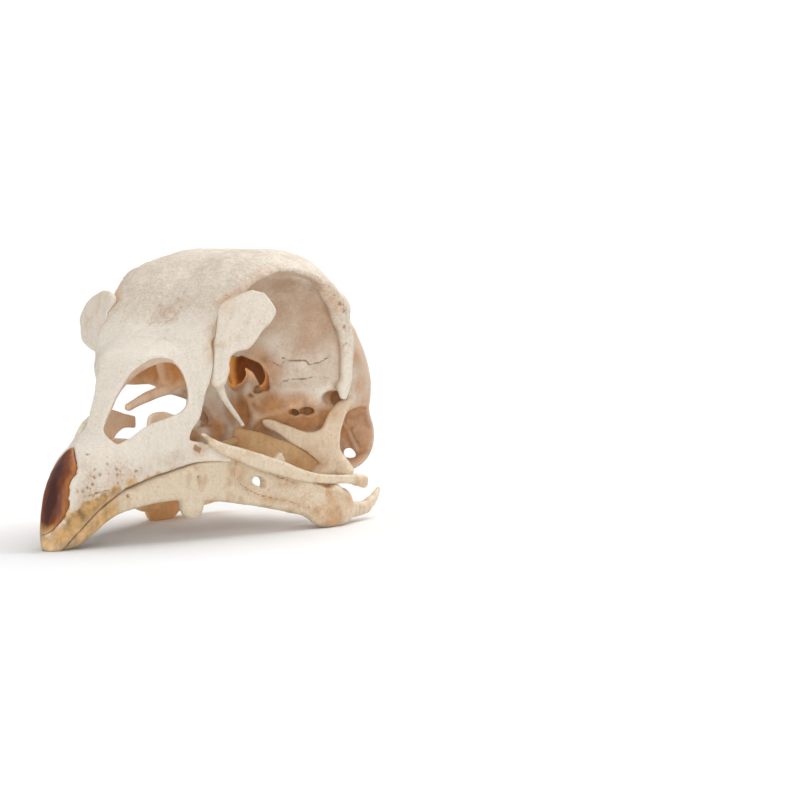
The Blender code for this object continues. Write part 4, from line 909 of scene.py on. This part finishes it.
def jaw_marks(places, normals):
    """Unevenness, seams and pits of the lower jaw, rougher behind. A painted glow on the back of the right
    ramus stands for light shining through it.
    """
    folded = mirrored_over(places)
    x, y, z = places.T
    to_crack, to_pit = to_lines(folded, JAW_CRACKS), to_spots(folded, JAW_PITS)
    behind = ramp(y, -6, 4)
    relief = 0.06 * grain(places, 1.6, 5) + 0.07 * behind * grain(places, 0.9, 11)
    relief -= 0.15 * pressed(to_crack, 0.5) + 0.2 * (1 - ramp(to_pit, -0.1, 0.3))
    relief[z < 0.6] = 0
    uneven = 0.4 * grain(places, 1.4, 12) + 0.25 * grain(places, 0.6, 13)
    return relief, {
        "to_crack": to_crack + 0.05, "to_pit": to_pit, "worn": 0.15 + 0.55 * behind,
        "depth": 0.05 + 0.55 * ramp(grain(places, 2.4, 14), -0.1, 0.6) + 0.3 * ramp(y, 4, 16),
        "husk": ramp(uneven - y, 25.5, 28.5), "glow": 0.35 * ramp(-x, 8, 10) * ramp(y, -2, 1),
        "to_warm": np.minimum(to_spots(places, JAW_WARM), to_crack + 0.1)}


def small_bone_marks(places, normals):
    """Soft unevenness, darker patches and amber warm spots of the small bones."""
    return 0.05 * grain(places, 1.1, 6), {
        "depth": 0.1 + 0.5 * ramp(grain(places, 1.8, 15), -0.1, 0.6), "worn": np.full(len(places), 0.3),
        "to_warm": to_spots(mirrored_over(places), SMALL_WARM)}


def horn_marks(places, normals):
    """How far each point of the horn lies from the strip's edge, and flakes along it."""
    to_edge = -horn_area().distance(places)
    flakes = grain(places * (1.4, 1, 0.35), 0.9, 7)
    return 0.05 * flakes * ramp(to_edge, 0, 0.5), {"to_edge": to_edge, "flakes": flakes}


# ------------------------------------------------------------------ pieces
UNMARKED = {                            # values of a bone that says nothing else
    "to_crack": 4.0, "to_pit": 4.0, "to_stain_and_shade": 4.0, "to_warm": 4.0, "depth": 0, "roof": 0, "husk": 0,
    "streaks": 0, "worn": 0, "glow": 0}


def piece(name, field, material, nodes, marks):
    """A mesh object over a field, with the values that its material reads, riding on the skull's one body."""
    places, faces = skin(field)
    places = evened(field, places, faces)
    normals = facing(places, faces)
    push, values = marks(places, normals)
    # how enclosed each point is, near and wider; the material paints shade and amber in enclosed places and
    # lightens edges
    values["hollow"] = np.clip((field.at(places, field.fullness(0.7)) - 0.5) * 4, -1, 1)
    values["bowl"] = np.clip((field.at(places, field.fullness(2.2)) - 0.5) * 4, -1, 1)
    for key, plain in UNMARKED.items():
        values.setdefault(key, np.full(len(places), plain))
    places = places + normals * push[:, None]
    mesh = bpy.data.meshes.new(name)
    mesh.from_pydata((places - [0, ROWS_MIDDLE_Y, 0]) * MM, [], faces.tolist())
    mesh.shade_smooth()
    for key, row in values.items():
        mesh.attributes.new(key, "FLOAT", "POINT").data.foreach_set("value", row.astype(np.float32))
    mesh.materials.append(material)
    part = bpy.data.objects.new(name, mesh)
    bpy.context.scene.collection.objects.link(part)
    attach(part, "root")
    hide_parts(*nodes)
    return part


# ------------------------------------------------------------------ materials
def put(tree, socket, value):
    """Links a socket to another one or sets its value."""
    if isinstance(value, bpy.types.NodeSocket):
        tree.links.new(value, socket)
    elif socket.type == "RGBA":
        socket.default_value = (*value, 1)
    else:
        socket.default_value = value


def node(tree, kind, inputs=None, **settings):
    made = tree.nodes.new("ShaderNode" + kind)
    for name, value in settings.items():
        setattr(made, name, value)
    for name, value in (inputs or {}).items():
        put(tree, made.inputs[name], value)
    return made


def maths(tree, operation, *values, clamp=False):
    return node(tree, "Math", dict(enumerate(values)), operation=operation, use_clamp=clamp).outputs[0]


def mixed(tree, amount, a, b, blend="MIX"):
    return node(tree, "Mix", {0: amount, 6: a, 7: b}, data_type="RGBA", blend_type=blend).outputs[2]


def times(tree, a, b, clamp=False):
    return maths(tree, "MULTIPLY", a, b, clamp=clamp)


def sloped(tree, value, by, start, clamp=False):
    """A value times `by`, plus `start`."""
    return maths(tree, "MULTIPLY_ADD", value, by, start, clamp=clamp)


def stepped(tree, value, low, high, to_low=0.0, to_high=1.0):
    """A smooth step of a value between low and high."""
    return node(tree, "MapRange", {0: value, 1: low, 2: high, 3: to_low, 4: to_high},
                interpolation_type="SMOOTHSTEP").outputs[0]


def noise(tree, place, scale, detail=3.0, stretch=None):
    if stretch:
        place = node(tree, "VectorMath", {0: place, 1: stretch}, operation="MULTIPLY").outputs[0]
    return node(tree, "TexNoise", {"Vector": place, "Scale": scale, "Detail": detail}).outputs["Fac"]


def around_zero(tree, place, scale, detail=3.0, stretch=None):
    """Noise with its middle at 0."""
    return maths(tree, "SUBTRACT", noise(tree, place, scale, detail, stretch), 0.5)


def cells(tree, place, scale):
    """Distance to the nearest of some scattered points."""
    return node(tree, "TexVoronoi", {"Vector": place, "Scale": scale}).outputs["Distance"]


def brightened(tree, colour, by):
    return node(tree, "HueSaturation", {"Color": colour, "Value": by}).outputs[0]


def group(name, inputs, outputs):
    """A node group with the named inputs and outputs, and its ends; colours are given as three values."""
    tree = bpy.data.node_groups.new(name, "ShaderNodeTree")
    for label, default in inputs.items():
        kind = "Float" if isinstance(default, (int, float)) else "Vector" if label == "Place" else "Color"
        socket = tree.interface.new_socket(label, in_out="INPUT", socket_type="NodeSocket" + kind)
        socket.default_value = (*default, 1) if kind == "Color" else default
    for label, kind in outputs.items():
        tree.interface.new_socket(label, in_out="OUTPUT", socket_type="NodeSocket" + kind)
    return tree, tree.nodes.new("NodeGroupInput").outputs, tree.nodes.new("NodeGroupOutput").inputs


def bone_tone():
    """Colour of old bone: clean and cream outside, darker inside the hull and in bowls as painted shade,
    grey-beige on the rough roof, and amber in hollows and at warm spots, painted as shade and as light shining
    through thin bone."""
    tree, given, result = group("bone_tone", {
        "Place": (0, 0, 0), "Clean": (0.8, 0.7, 0.6), "Aged And Shaded": (0.6, 0.45, 0.3), "Roof Tone": (0.6, 0.5, 0.4),
        "Amber": (0.5, 0.25, 0.08), "Husk Tone": (0.6, 0.37, 0.15), "Mottle": 0.3, "Amber Amount": 0.5,
        "Depth": 0, "Roof": 0, "Streaks": 0, "Worn": 0, "Husk": 0, "Hollow": 0, "Bowl": 0, "To Warm": 4},
        {"Colour": "Color", "Roughness": "Float"})
    place = given["Place"]
    clouds = around_zero(tree, place, 0.16)
    patches = around_zero(tree, place, 0.55, 4)
    specks = around_zero(tree, place, 2.6, 5)
    fibres = around_zero(tree, place, 1.6, 3, (1, 1, 0.16))

    # clean or aged, with painted shade inside the hull and in bowls, then the roof, the streaks of the temples
    # and the husk of horn on the bill's edge
    mottle = times(tree, given["Mottle"], maths(tree, "ADD", clouds, patches))
    aged_and_shaded = sloped(tree, mottle, 2.2, sloped(tree, given["Bowl"], 0.35, given["Depth"]), clamp=True)
    colour = mixed(tree, aged_and_shaded, given["Clean"], given["Aged And Shaded"])
    roof = times(tree, given["Roof"], sloped(tree, patches, 1.8, 0.75), clamp=True)
    colour = mixed(tree, roof, colour, given["Roof Tone"])
    streaks = times(tree, given["Streaks"], stepped(tree, fibres, -0.14, 0.2, 0.35, 0.85))
    colour = mixed(tree, streaks, colour, given["Aged And Shaded"])
    flakes = sloped(tree, patches, 2.4, sloped(tree, fibres, 0.35, 0.92))
    flaked = brightened(tree, given["Husk Tone"], flakes)
    colour = mixed(tree, given["Husk"], colour, flaked)

    # amber painted in the hollows and at the warm spots, as shade and as light shining through thin bone
    hollow = stepped(tree, sloped(tree, patches, 0.5, given["Hollow"]), 0.12, 0.85)
    warm = stepped(tree, sloped(tree, patches, 1.8, given["To Warm"]), -1.6, 1.6, 1.0, 0.0)
    amber = times(tree, given["Amber Amount"], maths(tree, "MAXIMUM", hollow, warm), clamp=True)
    cloudy = brightened(tree, given["Amber"], sloped(tree, patches, 1.5, 1.1))
    colour = mixed(tree, amber, colour, cloudy)

    # hair cracks, the holes and worm lines of worn edges, and pores
    hair = maths(tree, "ABSOLUTE", around_zero(tree, place, 0.30, 7))
    hairs = times(tree, stepped(tree, hair, 0.0, 0.009, 0.42, 0.0),
                  stepped(tree, noise(tree, place, 0.24, 2), 0.46, 0.60))
    worm = maths(tree, "ABSOLUTE", around_zero(tree, place, 0.75, 5))
    worms = times(tree, given["Worn"], stepped(tree, worm, 0.002, 0.022, 0.4, 0.0))
    to_hole = sloped(tree, specks, 0.5, cells(tree, place, 0.95))
    holes = times(tree, given["Worn"], stepped(tree, to_hole, 0.10, 0.24, 0.7, 0.0))
    dark = maths(tree, "MAXIMUM", hairs, maths(tree, "MAXIMUM", worms, holes))
    colour = mixed(tree, dark, colour, given["Amber"])
    pores = times(tree, stepped(tree, cells(tree, place, 1.9), 0.08, 0.24, 0.55, 0.0),
                  stepped(tree, noise(tree, place, 0.5, 3), 0.50, 0.64))
    colour = mixed(tree, pores, colour, given["Aged And Shaded"])

    # lighter on sharp edges, and fine specks over all
    edge = stepped(tree, given["Hollow"], -0.75, -0.2, 0.25, 0.0)
    colour = mixed(tree, edge, colour, given["Clean"])
    speckled = sloped(tree, specks, sloped(tree, given["Roof"], 0.3, 0.36), sloped(tree, fibres, 0.16, 1.0))
    put(tree, result["Colour"], brightened(tree, colour, speckled))
    dull = sloped(tree, given["Roof"], 0.15, 0.52)
    put(tree, result["Roughness"], sloped(tree, patches, 0.25, dull, clamp=True))
    return tree


def bone_marks():
    """Cracks, pits, stains and painted shade spots drawn over a colour, and how deep they are cut."""
    tree, given, result = group("bone_marks", {
        "Place": (0, 0, 0), "Colour": (0.8, 0.7, 0.6), "Crack Colour": (0.3, 0.15, 0.05),
        "Stain And Shade Colour": (0.4, 0.2, 0.1), "Crack Width": 0.14, "To Crack": 4, "To Pit": 4, "To Stain And Shade": 4},
        {"Colour": "Color", "Height": "Float"})
    place = given["Place"]
    wobble = around_zero(tree, place, 2.4, 4)
    broken = stepped(tree, noise(tree, place, 0.7, 3), 0.38, 0.56, 0.25, 0.9)
    from_crack = maths(tree, "DIVIDE", sloped(tree, wobble, 0.35, given["To Crack"]), given["Crack Width"])
    crack = times(tree, broken, stepped(tree, from_crack, 0.5, 1.9, 1.0, 0.0))
    pit = stepped(tree, sloped(tree, wobble, 0.6, given["To Pit"]), -0.14, 0.12, 0.8, 0.0)
    from_stain_and_shade = sloped(tree, noise(tree, place, 1.5, 7), 5.0, given["To Stain And Shade"])
    stain_and_shade = stepped(tree, from_stain_and_shade, 1.0, 3.6, 0.55, 0.0)
    sunk = maths(tree, "MAXIMUM", crack, pit)
    colour = mixed(tree, stain_and_shade, given["Colour"], given["Stain And Shade Colour"])
    put(tree, result["Colour"], mixed(tree, sunk, colour, given["Crack Colour"]))
    put(tree, result["Height"], times(tree, sunk, -1.0))
    return tree


def bone_relief():
    """Height of the bone's own grain: soft unevenness, fibres and small pores, more of them on the roof."""
    tree, given, result = group("bone_relief", {
        "Place": (0, 0, 0), "Grain": 0.5, "Pores": 0.2, "Fibres": 0.3, "Roof": 0}, {"Height": "Float"})
    place = given["Place"]
    soft = times(tree, given["Grain"], noise(tree, place, 1.3, 7))
    fibres = times(tree, given["Fibres"], noise(tree, place, 2.2, 3, (1, 1, 0.14)))
    pore = stepped(tree, cells(tree, place, 1.25), 0.08, 0.26, -1.0, 0.0)
    few = times(tree, stepped(tree, noise(tree, place, 0.45, 2), 0.45, 0.6), given["Pores"])
    amount = maths(tree, "ADD", few, times(tree, given["Roof"], 0.8))
    rough = times(tree, given["Roof"], noise(tree, place, 0.8, 7))
    total = sloped(tree, pore, amount, maths(tree, "ADD", soft, fibres))
    put(tree, result["Height"], sloped(tree, rough, 1.7, total))
    return tree


def attribute(tree, name):
    return node(tree, "Attribute", attribute_name=name).outputs["Fac"]


def placed(tree, shared_tree, inputs):
    """A group placed in a material with its own values."""
    made = tree.nodes.new("ShaderNodeGroup")
    made.node_tree = shared_tree
    for name, value in inputs.items():
        put(tree, made.inputs[name], value)
    return made.outputs


def in_mm(tree):
    return node(tree, "VectorMath", {0: node(tree, "TexCoord").outputs["Object"], "Scale": 1000.0},
                operation="SCALE").outputs[0]


def bare_material(name):
    material = bpy.data.materials.new(name)
    material.use_nodes = True
    return material, material.node_tree, material.node_tree.nodes["Principled BSDF"].inputs


TONE, MARKS, RELIEF = bone_tone(), bone_marks(), bone_relief()
OCHRE = (0.56, 0.335, 0.13)
CRACK_BROWN, STAIN_AND_SHADE_BROWN = (0.33, 0.17, 0.07), (0.46, 0.29, 0.18)
# colour of the painted glow: self-lit colour standing for light shining through thin bone
LIGHT_THROUGH_BONE = (0.34, 0.15, 0.035)


def bone_material(name, clean, aged_and_shaded, amber, mottle, amber_amount, grain_height, pores, fibres,
                  roof_tone=(0.6, 0.5, 0.4)):
    material, tree, shader = bare_material(name)
    place = in_mm(tree)
    kept = {label: attribute(tree, label.lower().replace(" ", "_")) for label in (
        "Depth", "Roof", "Streaks", "Worn", "Husk", "Hollow", "Bowl", "To Warm", "To Crack", "To Pit",
        "To Stain And Shade")}

    def kept_as(*labels):
        return {label: kept[label] for label in labels}

    tone = placed(tree, TONE, {
        "Place": place, "Clean": clean, "Aged And Shaded": aged_and_shaded, "Roof Tone": roof_tone, "Amber": amber,
        "Husk Tone": OCHRE, "Mottle": mottle, "Amber Amount": amber_amount,
        **kept_as("Depth", "Roof", "Streaks", "Worn", "Husk", "Hollow", "Bowl", "To Warm")})
    marks = placed(tree, MARKS, {
        "Place": place, "Colour": tone["Colour"], "Crack Colour": CRACK_BROWN, "Stain And Shade Colour": STAIN_AND_SHADE_BROWN,
        "Crack Width": 0.11, **kept_as("To Crack", "To Pit", "To Stain And Shade")})
    relief = placed(tree, RELIEF, {
        "Place": place, "Grain": grain_height, "Pores": pores, "Fibres": fibres, **kept_as("Roof")})
    height = maths(tree, "ADD", relief["Height"], marks["Height"])
    bump = node(tree, "Bump", {"Height": height, "Strength": 0.55, "Distance": 0.00018})
    put(tree, shader["Base Color"], marks["Colour"])
    put(tree, shader["Roughness"], tone["Roughness"])
    put(tree, shader["Normal"], bump.outputs[0])
    # painted glow where the glow attribute says, for light shining through thin bone
    put(tree, shader["Emission Color"], mixed(tree, attribute(tree, "glow"), (0, 0, 0), LIGHT_THROUGH_BONE))
    for label, value in (
            ("Emission Strength", 1.0), ("Subsurface Weight", 0.12), ("Subsurface Scale", 0.0009),
            ("Subsurface Radius", (1.0, 0.6, 0.35)), ("Specular IOR Level", 0.35)):
        shader[label].default_value = value
    return material


def horn_layers():
    """Colour of horn: a dark core, clear amber towards the strip's edge, ochre towards the tip."""
    tree, given, result = group("horn_layers", {
        "Place": (0, 0, 0), "Core": (0.1, 0.03, 0.02), "Middle": (0.15, 0.03, 0.01),
        "Edge": (0.35, 0.13, 0.04), "Tip": (0.59, 0.37, 0.15), "To Edge": 0, "Flakes": 0},
        {"Colour": "Color", "Height": "Float"})
    place = given["Place"]
    waves = around_zero(tree, place, 1.1, 5, (1, 1, 0.4))
    inner = sloped(tree, waves, 1.1, sloped(tree, given["Flakes"], 0.15, given["To Edge"]))
    colour = mixed(tree, stepped(tree, inner, 0.05, 0.75), given["Edge"], given["Middle"])
    colour = mixed(tree, stepped(tree, inner, 0.7, 1.7), colour, given["Core"])
    height = node(tree, "SeparateXYZ", {0: place}).outputs["Z"]
    tip = stepped(tree, sloped(tree, waves, 1.6, height), 2.3, 4.1, 1.0, 0.0)
    colour = mixed(tree, tip, colour, given["Tip"])
    fine = sloped(tree, noise(tree, place, 5.0, 4, (1, 1, 0.2)), 0.5, 0.75)
    put(tree, result["Colour"], brightened(tree, colour, fine))
    grown_layers = noise(tree, place, 2.2, 6, (1, 1, 0.3))
    put(tree, result["Height"], maths(tree, "ADD", grown_layers, times(tree, given["Flakes"], 0.3)))
    return tree


def horn_material():
    material, tree, shader = bare_material("layered_horn")
    layers = placed(tree, horn_layers(), {
        "Place": in_mm(tree), "Core": (0.065, 0.015, 0.010), "Middle": (0.16, 0.036, 0.009),
        "Edge": (0.40, 0.14, 0.030), "Tip": (0.60, 0.37, 0.15), "To Edge": attribute(tree, "to_edge"),
        "Flakes": attribute(tree, "flakes")})
    bump = node(tree, "Bump", {"Height": layers["Height"], "Strength": 0.5, "Distance": 0.00015})
    put(tree, shader["Base Color"], layers["Colour"])
    put(tree, shader["Normal"], bump.outputs[0])
    for label, value in (("Roughness", 0.5), ("Specular IOR Level", 0.35), ("Coat Weight", 0.08),
                         ("Coat Roughness", 0.25)):
        shader[label].default_value = value
    return material


# ------------------------------------------------------------------ floor, light and camera
FLOOR_HALF = 3.0                        # metres
PAPER = (0.86, 0.86, 0.86, 1)
LIGHT_AROUND, WHITE_BEHIND = 0.40, 1.05
SUNS = {                                # strength, width in degrees, turns in degrees
    "back_key": (2.5, 58, (-51, 5, 0)), "top_soft": (0.6, 70, (-6, -8, 0)),
    "front_fill": (1.2, 40, (68, 0, 30))}
CAMERA_PLACE, CAMERA_DOWN, CAMERA_TURN = (0.29078, -0.42958, 0.050), 3.4121, 30.6965
CAMERA_LENS, FILM_WIDTH = 159.74, 36    # mm


def lay_floor():
    mesh = bpy.data.meshes.new("floor")
    corners = [(x * FLOOR_HALF, y * FLOOR_HALF, 0) for x, y in ((-1, -1), (1, -1), (1, 1), (-1, 1))]
    mesh.from_pydata(corners, [], [(0, 1, 2, 3)])
    floor = bpy.data.objects.new("floor", mesh)
    bpy.context.scene.collection.objects.link(floor)
    paper, tree, shader = bare_material("pale_paper")
    shader["Base Color"].default_value = PAPER
    put(tree, shader["Roughness"], stepped(tree, noise(tree, in_mm(tree), 0.3), 0.2, 0.8, 0.85, 1.0))
    shader["Specular IOR Level"].default_value = 0.2
    mesh.materials.append(paper)


def set_light():
    """Soft light from all around, white where the camera sees past the floor, and three wide suns."""
    world = bpy.data.worlds.new("studio")
    bpy.context.scene.world = world
    world.use_nodes = True
    tree = world.node_tree
    around = tree.nodes["Background"]
    put(tree, around.inputs["Color"], (1, 1, 1))
    put(tree, around.inputs["Strength"], LIGHT_AROUND)
    seen = node(tree, "Background", {"Color": (1, 1, 1), "Strength": WHITE_BEHIND})
    either = node(tree, "MixShader", {0: node(tree, "LightPath").outputs["Is Camera Ray"]})
    put(tree, either.inputs[1], around.outputs[0])
    put(tree, either.inputs[2], seen.outputs[0])
    put(tree, tree.nodes["World Output"].inputs["Surface"], either.outputs[0])
    for name, (strength, width, turn) in SUNS.items():
        sun = bpy.data.lights.new(name, "SUN")
        sun.energy, sun.angle = strength, math.radians(width)
        lamp = bpy.data.objects.new(name, sun)
        lamp.rotation_euler = [math.radians(v) for v in turn]
        bpy.context.scene.collection.objects.link(lamp)


def set_camera():
    lens = bpy.data.cameras.new("camera")
    lens.lens, lens.sensor_width = CAMERA_LENS, FILM_WIDTH
    lens.clip_start, lens.clip_end = 0.01, 10
    camera = bpy.data.objects.new("camera", lens)
    camera.location = CAMERA_PLACE
    camera.rotation_euler = (math.radians(90 - CAMERA_DOWN), 0, math.radians(CAMERA_TURN))
    bpy.context.scene.collection.objects.link(camera)
    bpy.context.scene.camera = camera
    bpy.context.scene.view_settings.view_transform = "Standard"


# ------------------------------------------------------------------ the whole skull
lay_floor()
set_light()
set_camera()
skull_look = bone_material(
    "skull_bone", clean=(0.77, 0.70, 0.60), aged_and_shaded=(0.56, 0.405, 0.285), amber=(0.46, 0.22, 0.08), mottle=0.45,
    amber_amount=0.95, grain_height=0.45, pores=0.6, fibres=0.15, roof_tone=(0.64, 0.545, 0.44))
jaw_look = bone_material(
    "jaw_bone", clean=(0.74, 0.62, 0.46), aged_and_shaded=(0.54, 0.34, 0.18), amber=(0.48, 0.21, 0.06), mottle=1.2,
    amber_amount=0.7, grain_height=0.6, pores=0.6, fibres=0.1)
thin_look = bone_material(
    "thin_bone", clean=(0.74, 0.665, 0.565), aged_and_shaded=(0.62, 0.45, 0.29), amber=(0.50, 0.25, 0.08), mottle=0.6,
    amber_amount=0.6, grain_height=0.4, pores=0.4, fibres=0.2)
palate_look = bone_material(
    "palate_bone", clean=(0.60, 0.38, 0.19), aged_and_shaded=(0.48, 0.27, 0.11), amber=(0.38, 0.15, 0.03), mottle=0.9,
    amber_amount=0.8, grain_height=0.5, pores=0.5, fibres=0.3)
joint_look = bone_material(
    "joint_bone", clean=(0.72, 0.58, 0.42), aged_and_shaded=(0.52, 0.34, 0.19), amber=(0.44, 0.19, 0.05), mottle=0.8,
    amber_amount=0.8, grain_height=0.5, pores=0.5, fibres=0.2)

skull, hull = make_skull()
piece("skull_bone", skull, skull_look, ["cranium", "upper_bill"], skull_marks)
piece("bill_horn", make_horn(), horn_material(), ["horn_sheath"], horn_marks)
jaw = make_mandible().clear_of(skull)
piece("lower_jaw", jaw, jaw_look, ["mandible"], jaw_marks)
SMALL_BONES = {
    "palatine": (lambda side: make_palatine(), palate_look, "bone_ochre"),
    "pterygoid": (lambda side: make_pterygoid(), palate_look, "bone_ochre"),
    "quadrate": (lambda side: make_quadrate(), joint_look, "bone_ochre"),
    "jugal": (lambda side: make_jugal(), jaw_look, "bone_white"),
    "lacrimal": (make_lacrimal, thin_look, "bone_white"),
}
for side, sign in SIDES.items():
    standing = [skull, jaw]
    for name, (make, look, slot) in SMALL_BONES.items():
        bone = make(side)
        if sign < 0:
            bone = bone.mirrored()
        for other in standing:
            bone.clear_of(other)
        standing.append(bone)
        piece(f"{name}_bone_{side}", bone, look, [f"{name}_{side}"], small_bone_marks)
